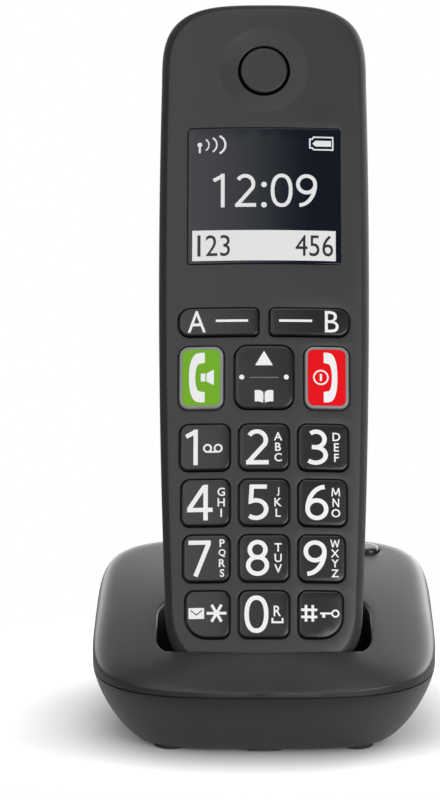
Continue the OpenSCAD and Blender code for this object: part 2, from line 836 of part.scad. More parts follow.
handset_front_cover();
handset_rear_cover();
battery_cover();
display_window();
display_module();
earpiece_cap();
earpiece_speaker();
ringer_speaker();
microphone();
main_board();
radio_shield();
keypad_mat();
battery_left();
battery_right();
battery_contacts();
handset_charge_pads();
handset_screws();
for (key = keys)
    key_cap(key);
base_upper_shell();
base_lower_shell();
base_board();
phone_socket();
power_socket();
paging_switch();
paging_key();
charge_pin_left();
charge_pin_right();
base_feet();
base_screws();
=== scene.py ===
"""A cordless telephone standing in its charging base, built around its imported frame.

The covers, keys, window and shells are surfaces worked out from formulas. The hidden pieces keep
the frame's own meshes and get their materials here.
"""

import json
import math
from types import SimpleNamespace

import bmesh
import bpy
import numpy as np
from bpy.props import FloatProperty, FloatVectorProperty, PointerProperty
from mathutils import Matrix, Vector
from mathutils.geometry import delaunay_2d_cdt


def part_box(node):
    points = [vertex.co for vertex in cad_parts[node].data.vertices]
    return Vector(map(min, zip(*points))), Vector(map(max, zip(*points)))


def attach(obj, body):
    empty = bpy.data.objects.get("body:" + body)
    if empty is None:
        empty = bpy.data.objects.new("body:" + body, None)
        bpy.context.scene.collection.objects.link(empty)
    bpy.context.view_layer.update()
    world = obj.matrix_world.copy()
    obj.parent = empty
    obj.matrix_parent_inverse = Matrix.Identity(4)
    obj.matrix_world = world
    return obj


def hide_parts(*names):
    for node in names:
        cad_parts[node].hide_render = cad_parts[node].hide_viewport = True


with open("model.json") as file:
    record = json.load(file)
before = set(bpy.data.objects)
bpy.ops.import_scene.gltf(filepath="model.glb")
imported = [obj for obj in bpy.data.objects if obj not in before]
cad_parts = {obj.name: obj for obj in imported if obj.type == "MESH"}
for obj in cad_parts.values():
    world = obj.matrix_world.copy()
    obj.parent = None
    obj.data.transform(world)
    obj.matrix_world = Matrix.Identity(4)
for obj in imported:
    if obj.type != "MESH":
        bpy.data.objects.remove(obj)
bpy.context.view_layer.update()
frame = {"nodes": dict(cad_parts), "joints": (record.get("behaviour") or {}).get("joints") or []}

bl_info = {
    "name": "Cordless telephone with base",
    "version": (1, 0, 0),
    "blender": (4, 5, 0),
    "location": "View3D > Sidebar > Phone",
    "description": "Builds the handset, its keys and its charging base as separate pieces",
    "category": "Add Mesh",
}

MM = 0.001
MERGE = 0.003 * MM
QUARTER = math.pi / 2


# ---- Settings ----

def length(name, text, size):
    return FloatProperty(name=name, description=text, default=size * MM, precision=5, unit="LENGTH")


def number(name, text, value):
    return FloatProperty(name=name, description=text, default=value)


def colour(name, text, value):
    return FloatVectorProperty(name=name, description=text, default=value, size=3, min=0.0, max=1.0,
                               subtype="COLOR")


class HandsetSettings(bpy.types.PropertyGroup):
    width: length("Width", "Greatest width of the handset", 50.2)
    side_radius: length("Side radius", "Radius of the slack arc along each side", 1900)
    waist: number("Waist", "Height of the widest place, as a share of the length", 0.64)
    top_end: length("Top end", "Height of the rounded top", 20)
    top_power: number("Top power", "Exponent of the top's curve", 3.5)
    foot_end: length("Foot end", "Height of the rounded foot", 18)
    foot_power: number("Foot power", "Exponent of the foot's curve", 2.8)
    depth: length("Depth", "Depth from the face to the back", 26)
    foot_taper: length("Foot taper", "How much thinner the foot is than the top", 2.5)
    face_radius: length("Face radius", "Radius of the crown across the face", 160)
    back_radius: length("Back radius", "Radius of the crown across the back", 64)
    back_round: length("Back round", "How far the back's edge rounds in", 9)
    rim_in: length("Rim in", "How far the face's edge rounds in", 1.9)
    rim_back: length("Rim back", "How far the face's edge rounds back", 1.9)
    rim_power: number("Rim power", "Exponent of the face's edge: 1 is round and 2 is a flat facet",
                      1.6)
    seam: length("Seam", "Depth of the seam between the covers", 12)
    groove: length("Groove", "Height of the groove along the seam", 0.35)
    groove_depth: length("Groove depth", "Depth of the groove along the seam", 0.6)
    wall: length("Wall", "Wall of the covers", 1.8)
    edge: length("Edge", "Radius of the small fillets round the openings", 0.22)
    dish_radius: length("Dish radius", "Radius of the dish round the earpiece", 10.7)
    dish_depth: length("Dish depth", "Depth of the dish at its middle", 1.2)
    ear_hole: length("Earpiece opening", "Radius of the opening round the earpiece", 6.25)
    door_thickness: length("Door thickness", "Thickness of the battery door", 1.6)
    door_gap: length("Door gap", "Gap round the battery door", 0.2)
    door_corner: length("Door corner", "Radius of the battery door's corners", 4)


class KeySettings(bpy.types.PropertyGroup):
    clearance: length("Clearance", "Clearance round a key", 0.3)
    rise: length("Rise", "Height of a key's top over the face", 0.8)
    top_radius: length("Top radius", "Radius of a key's crown along the handset", 70)
    edge: length("Edge", "Radius of the rounding along a key's top", 0.42)
    flange: length("Flange", "Width of a key's flange behind the cover", 0.6)
    corner: length("Corner", "Radius of a digit key's corners", 1.9)
    hook_corner: length("Hook corner", "Radius of the lowest outer corners", 5)
    stroke: length("Stroke", "Width of a digit's stroke", 1.02)
    trim: length("Trim", "How much narrower a digit key is than its node", 0.2)
    wide_trim: length("Wide trim", "How much narrower a call or direct key is than its node", 0.7)
    print_rise: length("Print rise", "How far the print stands over a key", 0.035)
    rim: length("Rim", "Width of the grey rim of a call key", 0.62)


class BaseSettings(bpy.types.PropertyGroup):
    width: length("Width", "Width of the base at its seam", 81.4)
    depth: length("Depth", "Depth of the base at its seam", 82)
    seam: length("Seam", "Height of the seam between the shells", 17.3)
    wall: length("Wall", "Wall of the shells", 2)
    floor_gap: length("Floor gap", "Gap between the base and the surface under it", 1)
    bowl: length("Bowl", "How far the sides draw in towards the bottom", 9.8)
    front_bowl: length("Front bowl", "How far the front draws in towards the bottom", 12.5)
    bowl_power: number("Bowl power", "Exponent of the bowl's curve", 1.35)
    shoulder: length("Shoulder", "Width of the shoulder at the sides and the back", 7.5)
    shoulder_power: number("Shoulder power", "Exponent of the shoulder's curve", 5)
    lip_inset: length("Lip inset", "Distance of the lip from the front", 13.1)
    slope_power: number("Slope power", "Exponent of the front slope's curve", 1.3)
    front_power: number("Front power", "Exponent of the plan's front corners", 3.45)
    back_power: number("Back power", "Exponent of the plan's back corners", 5.3)
    rise: length("Rise", "Upright band over the seam", 1.1)
    lip_height: length("Lip height", "Height of the front lip", 24.4772)
    deck_slope: number("Deck slope", "Rise of the deck towards the back", 0.156)
    crown: length("Crown", "How far the deck bulges at its middle", 1.3)
    side_fall: length("Side fall", "How far the deck's front corners fall below the bulge", 4.0)
    pocket_gap: length("Pocket gap", "Clearance round the handset", 0.9)
    pocket_corner: length("Pocket corner", "Radius of the pocket's corners", 8)
    pocket_front: length("Pocket front", "Radius of the pocket's front", 110)
    pocket_edge: length("Pocket edge", "Radius of the rounding along the pocket's mouth", 0.7)
    stand_gap: length("Stand gap", "Clearance under the handset's foot", 0.3)


class FinishSettings(bpy.types.PropertyGroup):
    cover: colour("Cover", "Charcoal of the covers and shells", (0.026, 0.026, 0.027))
    key: colour("Key", "Satin black of the keys", (0.017, 0.017, 0.018))
    talk: colour("Talk key", "Green of the talk key", (0.176, 0.434, 0.022))
    end: colour("End key", "Red of the end key", (0.82, 0.002, 0.008))
    rim: colour("Key rim", "Grey rim of the two call keys", (0.25, 0.25, 0.255))
    ink: colour("Print", "White of the print on the keys", (0.88, 0.88, 0.88))
    screen: colour("Screen", "Dark of the display", (0.006, 0.009, 0.016))
    floor: colour("Floor", "Pale surface under the object", (0.86, 0.853, 0.853))


def settings():
    scene = bpy.context.scene
    return scene.phone_handset, scene.phone_keys, scene.phone_base, scene.phone_finish


# ---- The handset's frame: u across, w from the face into the back, v from the foot to the top ----

lift = next(joint for joint in frame["joints"] if joint["name"] == "handset_lift")
ACROSS = np.array([1.0, 0.0, 0.0])
ALONG = np.array(lift["axis"], float) / np.linalg.norm(lift["axis"])
INTO = np.array([0.0, ALONG[2], -ALONG[1]])


def node_points(node):
    """The vertices of a frame node as an array of rows."""
    mesh = frame["nodes"][node].data
    points = np.empty(len(mesh.vertices) * 3, np.float32)
    mesh.vertices.foreach_get("co", points)
    return points.reshape(-1, 3).astype(float)


covers = np.vstack([node_points("handset_front_cover"), node_points("handset_rear_cover")])
FACE = (covers @ INTO).min()
FOOT = (covers @ ALONG).min()
LENGTH = (covers @ ALONG).max() - FOOT
MIDDLE = LENGTH / 2


def placed(u, w, v):
    """Points of the handset's frame in the object's frame."""
    u, w, v = np.broadcast_arrays(u, w, v)
    return (u[..., None] * ACROSS + (w[..., None] + FACE) * INTO + (v[..., None] + FOOT) * ALONG)


def handset_points(node):
    """The vertices of a frame node as rows of u, w and v."""
    points = node_points(node)
    return np.stack([points @ ACROSS, points @ INTO - FACE, points @ ALONG - FOOT], 1)


def handset_box(node):
    """(lowest, highest) u, w and v of a frame node."""
    points = handset_points(node)
    return points.min(0), points.max(0)


def box_middle(points):
    """Middle of the box round an array of points."""
    return (points.min(0) + points.max(0)) / 2


def four_places(flat):
    """Centres of four like parts, one in each quarter of the box round their flat points."""
    across, along = (flat > box_middle(flat)).T
    return [box_middle(flat[(across == right) & (along == far)])
            for right in (False, True) for far in (False, True)]


def halved(low, high, beyond, rounds=45):
    """Where between low and high a place lies, for whole arrays: each round halves the span, and
    beyond(middle) tells whether the place lies past its middle."""
    for _ in range(rounds):
        middle = (low + high) / 2
        past = beyond(middle)
        low, high = np.where(past, middle, low), np.where(past, high, middle)
    return low


# ---- Flat loops ----

def resampled(points, count):
    """A closed loop of count points, evenly spaced along the given closed line."""
    closed = np.vstack([points, points[:1]])
    reach = np.concatenate([[0], np.cumsum(np.linalg.norm(np.diff(closed, axis=0), axis=1))])
    wanted = np.arange(count) / count * reach[-1]
    return np.stack([np.interp(wanted, reach, closed[:, i]) for i in (0, 1)], 1)


def round_turns(count):
    """Angles evenly spaced round a circle."""
    return np.arange(count) / count * 2 * math.pi


def signed_power(value, power):
    """A power of a number's size, with its sign."""
    return np.sign(value) * np.abs(value) ** power


def circle_loop(centre, radius, count=64):
    """A circle: the centre plus the radius times the cosine and sine of each angle."""
    turn = round_turns(count)
    return np.stack([centre[0] + radius * np.cos(turn), centre[1] + radius * np.sin(turn)], 1)


LEAST_RADIUS = 0.02 * MM


def rounded_loop(centre, size, radii, grow=0.0, spacing=1.6 * MM, corner_steps=7):
    """A rectangle with an arc for each corner, foot left first and then round. Its sides move
    out by grow, and its arcs keep their centres until their radius runs out."""
    half = np.array(size) / 2
    signs = np.array([[-1, -1], [1, -1], [1, 1], [-1, 1]])
    points = []
    for i, sign in enumerate(signs):
        radius = max(radii[i] + grow, LEAST_RADIUS)
        middle = sign * (half + grow - radius)
        turn = math.pi + (i + np.arange(corner_steps + 1) / corner_steps) * QUARTER
        arc = middle + radius * np.stack([np.cos(turn), np.sin(turn)], 1)
        after = signs[(i + 1) % 4]
        side = np.abs(after - sign).argmax()
        steps = max(2, int(2 * half[side] / spacing))
        next_radius = max(radii[(i + 1) % 4] + grow, LEAST_RADIUS)
        next_turn = math.pi + (i + 1) * QUARTER
        start = after * (half + grow - next_radius) + next_radius * np.array(
            [math.cos(next_turn), math.sin(next_turn)])
        share = (np.arange(1, steps) / steps)[:, None]
        points += [arc, arc[-1] + (start - arc[-1]) * share]
    return np.vstack(points) + np.array(centre)


def even_loop(centre, size, radius, grow=0.0, **options):
    """A rounded loop with one radius for all corners."""
    return rounded_loop(centre, size, [radius] * 4, grow, **options)


def inside(points, loop):
    """Which points lie in a closed loop, by counting the sides that a ray crosses."""
    a, b = loop, np.roll(loop, -1, axis=0)
    x, y = points[:, :1], points[:, 1:]
    straddles = (a[:, 1] > y) != (b[:, 1] > y)
    rise = np.where(b[:, 1] == a[:, 1], 1e-12, b[:, 1] - a[:, 1])
    crossing = x < a[:, 0] + (y - a[:, 1]) * (b[:, 0] - a[:, 0]) / rise
    return (straddles & crossing).sum(1) % 2 == 1


def web(outer, holes=(), step=2.4 * MM):
    """A flat web between an outer loop and its holes: Delaunay triangles over the loops' points and
    a grid of points that keeps nearly half a step from them. Returns its points and triangles."""
    loops = [outer, *holes]
    points = np.vstack(loops)
    low, high = outer.min(0), outer.max(0)
    x, y = np.meshgrid(np.arange(low[0] + step / 2, high[0], step),
                       np.arange(low[1] + step / 2, high[1], step))
    grid = np.stack([x.ravel(), y.ravel()], 1)
    keep = inside(grid, outer)
    for hole in holes:
        keep &= ~inside(grid, hole)
    grid = grid[keep]
    if len(grid):
        near = np.min(np.linalg.norm(grid[:, None] - points[None], axis=2), axis=1)
        grid = grid[near > 0.45 * step]
    everything = np.vstack([points, grid])
    edges, start = [], 0
    for loop in loops:
        n = len(loop)
        edges += [(start + i, start + (i + 1) % n) for i in range(n)]
        start += n
    tolerance = 1e-5
    result = delaunay_2d_cdt([Vector(p) for p in everything * (1 / MM)], edges, [], 0, tolerance)
    found = np.array([p[:] for p in result[0]]) / (1 / MM)
    source = [ids[0] if ids else -1 for ids in result[3]]
    for i, origin in enumerate(source):
        if origin >= 0:
            found[i] = everything[origin]
    triangles = np.array([f[:] for f in result[2] if len(f) == 3], int)
    centres = found[triangles].mean(1)
    keep = inside(centres, outer)
    for hole in holes:
        keep &= ~inside(centres, hole)
    return found, triangles[keep]


# ---- Parts of a mesh: pairs of points and faces ----

def loft(rings, closed=True):
    """Quads between rings of equally many points: a grid of ring by place along the ring."""
    rings = np.asarray(rings)
    m, n = rings.shape[:2]
    a = np.arange(m - 1)[:, None] * n
    i = np.arange(n if closed else n - 1)[None]
    j = (i + 1) % n
    quads = np.stack([a + i, a + j, a + n + j, a + n + i], -1).reshape(-1, 4)
    return rings.reshape(-1, 3), quads


def cap(ring, to_centre=4):
    """Closes a ring with smaller copies of it about its middle, and a fan at the middle."""
    middle = ring.mean(0)
    shares = np.linspace(1, 0, to_centre + 1)[:-1]
    points, quads = loft([middle + (ring - middle) * s for s in shares])
    n, last = len(ring), len(points) - len(ring)
    fan = [[last + i, last + (i + 1) % n, len(points)] for i in range(n)]
    return np.vstack([points, middle]), list(map(list, quads)) + fan


def box_part(low, high, edge=0.0):
    """A box between two corners, with its upright sides and both ends drawn in by edge."""
    low, high = np.array(low, float), np.array(high, float)
    centre, half = (low + high) / 2, (high - low) / 2
    levels = [(-1, edge), (-1 + edge / half[2], 0), (1 - edge / half[2], 0), (1, edge)]
    rings = []
    for level, inset in levels:
        loop = even_loop(centre[:2], 2 * half[:2], max(edge, 0.05 * MM), -inset, corner_steps=3)
        rings.append(np.column_stack([loop, np.full(len(loop), centre[2] + level * half[2])]))
    return [loft(rings), cap(rings[0], 1), cap(rings[-1], 1)]


def lathe(profile, count=48):
    """A profile of (radius, height) turned about the height's axis: points at radius times the
    cosine and sine of the turn. Ends on the axis close in a pole."""
    radius, height = np.array(profile, float).T
    turn = round_turns(count)
    rings = np.stack([np.outer(radius, np.cos(turn)), np.outer(radius, np.sin(turn)),
                      np.repeat(height[:, None], count, 1)], -1)
    return loft(rings)


def fillet(radius, steps=4):
    """(growth, depth) along a quarter round from the surface round an opening to its wall."""
    turn = np.linspace(0, QUARTER, steps + 1)
    return [(radius * (1 - math.sin(t)), radius * (1 - math.cos(t))) for t in turn]


def joined(parts):
    """All parts as one list of points, one of faces, and one of the faces' material numbers. A
    part is its points, its faces and, where it isn't 0, its material's number."""
    points, faces, numbers, start = [], [], [], 0
    for part_points, part_faces, *number in parts:
        points.append(np.asarray(part_points, float))
        faces += [[start + int(i) for i in face] for face in part_faces]
        numbers += (number or [0]) * len(part_faces)
        start += len(part_points)
    return np.vstack(points), faces, numbers


def add_piece(name, parts, body, material, slot, replaces=(), sharp=32, weld=MERGE):
    """Makes a closed mesh of its parts and has it ride on a body. The parts' shared rims are
    welded, and its faces are turned outwards."""
    points, faces, numbers = joined(parts)
    mesh = bpy.data.meshes.new(name)
    mesh.from_pydata(points.tolist(), [], faces)
    materials = material if isinstance(material, (list, tuple)) else [material]
    for entry in materials:
        mesh.materials.append(entry)
    mesh.polygons.foreach_set("material_index", numbers)
    build = bmesh.new()
    build.from_mesh(mesh)
    if weld:
        bmesh.ops.remove_doubles(build, verts=build.verts, dist=weld)
        bmesh.ops.dissolve_degenerate(build, edges=build.edges, dist=weld / 4)
    bmesh.ops.recalc_face_normals(build, faces=build.faces)
    build.to_mesh(mesh)
    build.free()
    mesh.shade_smooth()
    mesh.set_sharp_from_angle(angle=math.radians(sharp))
    piece = bpy.data.objects.new(name, mesh)
    bpy.context.scene.collection.objects.link(piece)
    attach(piece, body)
    if replaces:
        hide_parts(*replaces)
    return piece


# ---- Materials ----

def new_group(name, inputs, outputs):
    """An empty shader group with the given sockets, and its two end nodes."""
    group = bpy.data.node_groups.new(name, "ShaderNodeTree")
    for label, kind, value in inputs:
        group.interface.new_socket(name=label, in_out="INPUT",
                                   socket_type=kind).default_value = value
    for label, kind in outputs:
        group.interface.new_socket(name=label, in_out="OUTPUT", socket_type=kind)
    return group, group.nodes.new("NodeGroupInput"), group.nodes.new("NodeGroupOutput")


def link_all(tree, pairs):
    for source, target in pairs:
        tree.links.new(source, target)


def add_node(tree, kind, values=(), **choices):
    """A shader node with its choices made, and with its sockets set by name or number."""
    node = tree.nodes.new("ShaderNode" + kind)
    for label, value in choices.items():
        setattr(node, label, value)
    for label, value in dict(values).items():
        node.inputs[label].default_value = value
    return node


COLOUR, NUMBER, VECTOR = "NodeSocketColor", "NodeSocketFloat", "NodeSocketVector"


def moulded_group():
    """Moulded plastic: a fine grain as bumps, broad faint clouds in the colour and the roughness.
    Grain and Cloud are in bumps to the metre."""
    group, given, out = new_group(
        "moulded_finish",
        [("Colour", COLOUR, (0.05, 0.05, 0.05, 1)), ("Roughness", NUMBER, 0.5),
         ("Grain", NUMBER, 3200), ("Depth", NUMBER, 0.4), ("Cloud", NUMBER, 45),
         ("Unevenness", NUMBER, 0.1)],
        [("Colour", COLOUR), ("Roughness", NUMBER), ("Normal", VECTOR)])
    place = add_node(group, "TexCoord").outputs["Object"]
    grain = add_node(group, "TexNoise", {"Detail": 2})
    bump = add_node(group, "Bump", {"Distance": 0.02 * MM})
    cloud = add_node(group, "TexNoise", {"Detail": 3})
    shift = add_node(group, "MapRange", {"From Min": 0.25, "From Max": 0.75, "To Min": -1})
    amount = add_node(group, "Math", {2: 1}, operation="MULTIPLY_ADD")
    tint = add_node(group, "VectorMath", operation="SCALE")
    rough = add_node(group, "Math", operation="MULTIPLY")
    link_all(group, [
        (place, grain.inputs["Vector"]), (given.outputs["Grain"], grain.inputs["Scale"]),
        (place, cloud.inputs["Vector"]), (given.outputs["Cloud"], cloud.inputs["Scale"]),
        (grain.outputs[0], bump.inputs["Height"]),
        (given.outputs["Depth"], bump.inputs["Strength"]),
        (cloud.outputs[0], shift.inputs["Value"]), (shift.outputs[0], amount.inputs[0]),
        (given.outputs["Unevenness"], amount.inputs[1]), (given.outputs["Colour"], tint.inputs[0]),
        (amount.outputs[0], tint.inputs["Scale"]), (given.outputs["Roughness"], rough.inputs[0]),
        (amount.outputs[0], rough.inputs[1]), (tint.outputs[0], out.inputs["Colour"]),
        (rough.outputs[0], out.inputs["Roughness"]), (bump.outputs[0], out.inputs["Normal"])])
    return group


def drawn_metal_group():
    """Bare metal: fine streaks along the handset's length in the roughness and as bumps."""
    group, given, out = new_group(
        "drawn_metal", [("Roughness", NUMBER, 0.3), ("Streaks", NUMBER, 900)],
        [("Roughness", NUMBER), ("Normal", VECTOR)])
    place = add_node(group, "TexCoord")
    stretch = add_node(group, "Mapping", {"Scale": (1, 1, 0.06)})
    streaks = add_node(group, "TexNoise", {"Detail": 2})
    spread = add_node(group, "Math", {1: 0.2}, operation="MULTIPLY_ADD")
    bump = add_node(group, "Bump", {"Distance": 0.01 * MM, "Strength": 0.5})
    link_all(group, [
        (place.outputs["Object"], stretch.inputs[0]),
        (stretch.outputs[0], streaks.inputs["Vector"]),
        (given.outputs["Streaks"], streaks.inputs["Scale"]), (streaks.outputs[0], spread.inputs[0]),
        (given.outputs["Roughness"], spread.inputs[2]), (streaks.outputs[0], bump.inputs["Height"]),
        (spread.outputs[0], out.inputs["Roughness"]), (bump.outputs[0], out.inputs["Normal"])])
    return group


def finish(name, group, inputs, **plain):
    """A material of a Principled shader fed by a group. plain sets the shader's own sockets,
    with an underscore for a space."""
    if name in bpy.data.materials:
        return bpy.data.materials[name]
    material = bpy.data.materials.new(name)
    material.use_nodes = True
    tree = material.node_tree
    shader = tree.nodes["Principled BSDF"]
    node = tree.nodes.new("ShaderNodeGroup")
    node.node_tree = bpy.data.node_groups.get(group.__name__) or group()
    node.node_tree.name = group.__name__
    for label, value in inputs.items():
        node.inputs[label].default_value = (*value, 1) if label == "Colour" else value
    link_all(tree,
             [(output, shader.inputs["Base Color" if output.name == "Colour" else output.name])
              for output in node.outputs])
    for label, value in plain.items():
        shader.inputs[label.replace("_", " ")].default_value = value
    return material


def moulded(name, colour, roughness=0.5, **options):
    """Moulded plastic. Options that name the group's sockets go there, and the rest to the
    shader."""
    grain = {"Grain": 3200, "Depth": 0.4, "Cloud": 45, "Unevenness": 0.1}
    plain = {k: v for k, v in options.items() if k not in grain}
    grain.update({k: v for k, v in options.items() if k in grain})
    return finish(name, moulded_group, {"Colour": colour, "Roughness": roughness, **grain}, **plain)


def metal(name, colour, roughness=0.28):
    return finish(name, drawn_metal_group, {"Roughness": roughness}, Base_Color=(*colour, 1),
                  Metallic=1.0)


def cover_plastic():
    return moulded("charcoal_cover", settings()[3].cover, 0.43, Depth=0.55, Unevenness=0.06)


def key_plastic():
    return moulded("satin_key", settings()[3].key, 0.24, Grain=2600, Depth=0.25, Unevenness=0.06)


def ink():
    return moulded("printed_white", settings()[3].ink, 0.5, Grain=1800, Depth=0.1, Unevenness=0.03)


def screen_light():
    return moulded("screen_white", (0.7, 0.7, 0.7), 0.4, Depth=0.0, Unevenness=0.02,
                   Emission_Color=(0.86, 0.87, 0.88, 1), Emission_Strength=0.1)


def rubber():
    return moulded("black_rubber", (0.018, 0.018, 0.019),
                   0.75, Grain=1500, Depth=0.8, Unevenness=0.2)


def steel():
    return metal("plated_steel", (0.62, 0.62, 0.63))


def gold():
    return metal("gilt_contact", (0.83, 0.62, 0.28), 0.22)


# ---- The handset's form ----

def half_width(v, handset):
    """Half the handset's width: a slack arc about its waist."""
    return handset.width / 2 - (v - handset.waist * LENGTH) ** 2 / (2 * handset.side_radius)


def outline(handset, count=300):
    """The handset's outline as (u, v). Each end is a superellipse: (u / half) ^ p + (1 - y / h)
    ^ p = 1."""
    turn = np.linspace(0, QUARTER, 400)

    def end(height, power, v):
        return (half_width(v, handset) * np.cos(turn) ** (2 / power),
                height * (1 - np.sin(turn) ** (2 / power)))

    foot_u, foot_v = end(handset.foot_end, handset.foot_power, handset.foot_end)
    top_u, top_v = end(handset.top_end, handset.top_power, LENGTH - handset.top_end)
    side_v = np.linspace(handset.foot_end, LENGTH - handset.top_end, 80)[1:-1]
    right = np.vstack([
        np.stack([foot_u, foot_v], 1)[::-1],
        np.stack([half_width(side_v, handset), side_v], 1),
        np.stack([top_u, LENGTH - top_v], 1)])
    left = right[-2:0:-1] * (-1, 1)
    return resampled(np.vstack([right, left]), count)


def drawn_in(loop, inset, handset):
    """The outline drawn in all round, by scaling it about its middle."""
    centre = np.array([0, MIDDLE])
    return centre + (loop - centre) * (1 - inset / np.array([handset.width / 2, MIDDLE]))


def face_depth(u, handset):
    """How far the crowned face falls away beside its middle: an arc across."""
    return handset.face_radius - np.sqrt(handset.face_radius ** 2 - u ** 2)


def back_level(u, v, handset):
    """Where the back would lie without its rounded edge: flat at the top, thinner at the foot, and
    crowned across."""
    share = np.clip(v / LENGTH, 0, 1)
    return handset.depth - handset.foot_taper * (1 - share) ** 2 - u ** 2 / (2 * handset.back_radius)


def outline_half(v, handset):
    """Half the outline's width at a height, ends included."""
    half = half_width(np.clip(v, handset.foot_end, LENGTH - handset.top_end), handset)
    foot = np.clip(1 - v / handset.foot_end, 0, 1)
    top = np.clip(1 - (LENGTH - v) / handset.top_end, 0, 1)
    return (half * (1 - foot ** handset.foot_power) ** (1 / handset.foot_power)
            * (1 - top ** handset.top_power) ** (1 / handset.top_power))


def back_depth(u, v, handset, inset=0.0):
    """Depth of the back's skin, or of the skin that lies inset under it. How far a point lies in
    from the outline is found by halving, and sets how far along the rounded edge it is."""
    def within(reach):
        whole_v = MIDDLE + (v - MIDDLE) / (1 - reach / MIDDLE)
        return np.abs(u) < outline_half(whole_v, handset) * (1 - reach / (handset.width / 2))

    reach = halved(np.zeros_like(u), np.full_like(u, handset.back_round + inset), within)
    level = back_level(u, v, handset) - inset
    cosine = np.clip(1 - (reach - inset) / handset.back_round, 0, 1)
    return handset.seam + (level - handset.seam) * np.sqrt(1 - cosine ** 2)


def key_data(handset, keys):
    """Centre, size, corner radii and depths of every key, from the frame's boxes. The lowest outer
    corners follow the foot."""
    plain, hook, call, outer, inner = keys.corner, keys.hook_corner, 2.2 * MM, 2.6 * MM, 1 * MM
    special = {"key_star": (hook, plain, plain, plain), "key_hash": (plain, hook, plain, plain),
               "key_navigation": (2.8 * MM,) * 4, "key_talk": (call,) * 4, "key_end": (call,) * 4,
               "key_a": (outer, inner, inner, outer), "key_b": (inner, outer, outer, inner)}
    face_reach, cap_reach, beside = 20 * MM, 0.9 * MM, 0.3 * MM
    result = {}
    for node in frame["nodes"]:
        if not node.startswith("key_"):
            continue
        u, w, v = handset_points(node).T
        top = w < face_depth(np.clip(u, -face_reach, face_reach), handset) + cap_reach
        cap_points = np.stack([u[top], v[top]], 1)
        centre, size = box_middle(cap_points), np.ptp(cap_points, axis=0)
        beyond = np.abs(u - centre[0]) > size[0] / 2 + beside
        if node in ("key_a", "key_b", "key_talk", "key_end"):
            size[0] -= keys.wide_trim
        elif node != "key_navigation":
            size[0] -= keys.trim
        result[node] = SimpleNamespace(centre=centre, size=size,
                                       radii=special.get(node, (plain,) * 4),
                                       base=w.max(), flange=w[beyond].min())
    return result


def window_data():
    """Centre, size and corner radius of the display window."""
    low, high = handset_box("display_window")
    return SimpleNamespace(centre=(low + high)[[0, 2]] / 2, size=(high - low)[[0, 2]],
                           corner=0.8 * MM)


def ear_centre():
    return box_middle(handset_points("earpiece_cap"))[[0, 2]]


DISH_EASE = 0.8 * MM


def dish_dip(radius, handset):
    """Depth of the earpiece's dish under the face: a parabola, whose edge is eased as half its sum
    with the root of its square and a small square."""
    soft = 0.015 * MM

    def eased(r):
        s = handset.dish_depth * (1 - (r / handset.dish_radius) ** 2)
        return (s + np.sqrt(s ** 2 + soft ** 2)) / 2

    return eased(radius) - eased(handset.dish_radius + DISH_EASE)


def ring(loop, level, depth=0.0):
    """A flat loop of the handset's frame, laid on level(u, v) or at plain depths, and sunk by
    depth."""
    w = level(*loop.T) if callable(level) else level
    return placed(loop[:, 0], w + depth, loop[:, 1])


def laid(flat, level, depth=0.0):
    """A flat web laid on a surface as a part."""
    points, faces = flat
    return ring(points, level, depth), faces


def stood(part, centre=(0, 0)):
    """A part drawn in (u, v, w) about a centre, in the object's frame."""
    points, faces = part
    return placed(points[:, 0] + centre[0], points[:, 2], points[:, 1] + centre[1]), faces


class PieceOperator:
    """What every piece's operator shares: it can be undone, and it runs make()."""

    bl_options = {"REGISTER", "UNDO"}

    def execute(self, context):
        self.make(*settings())
        return {"FINISHED"}


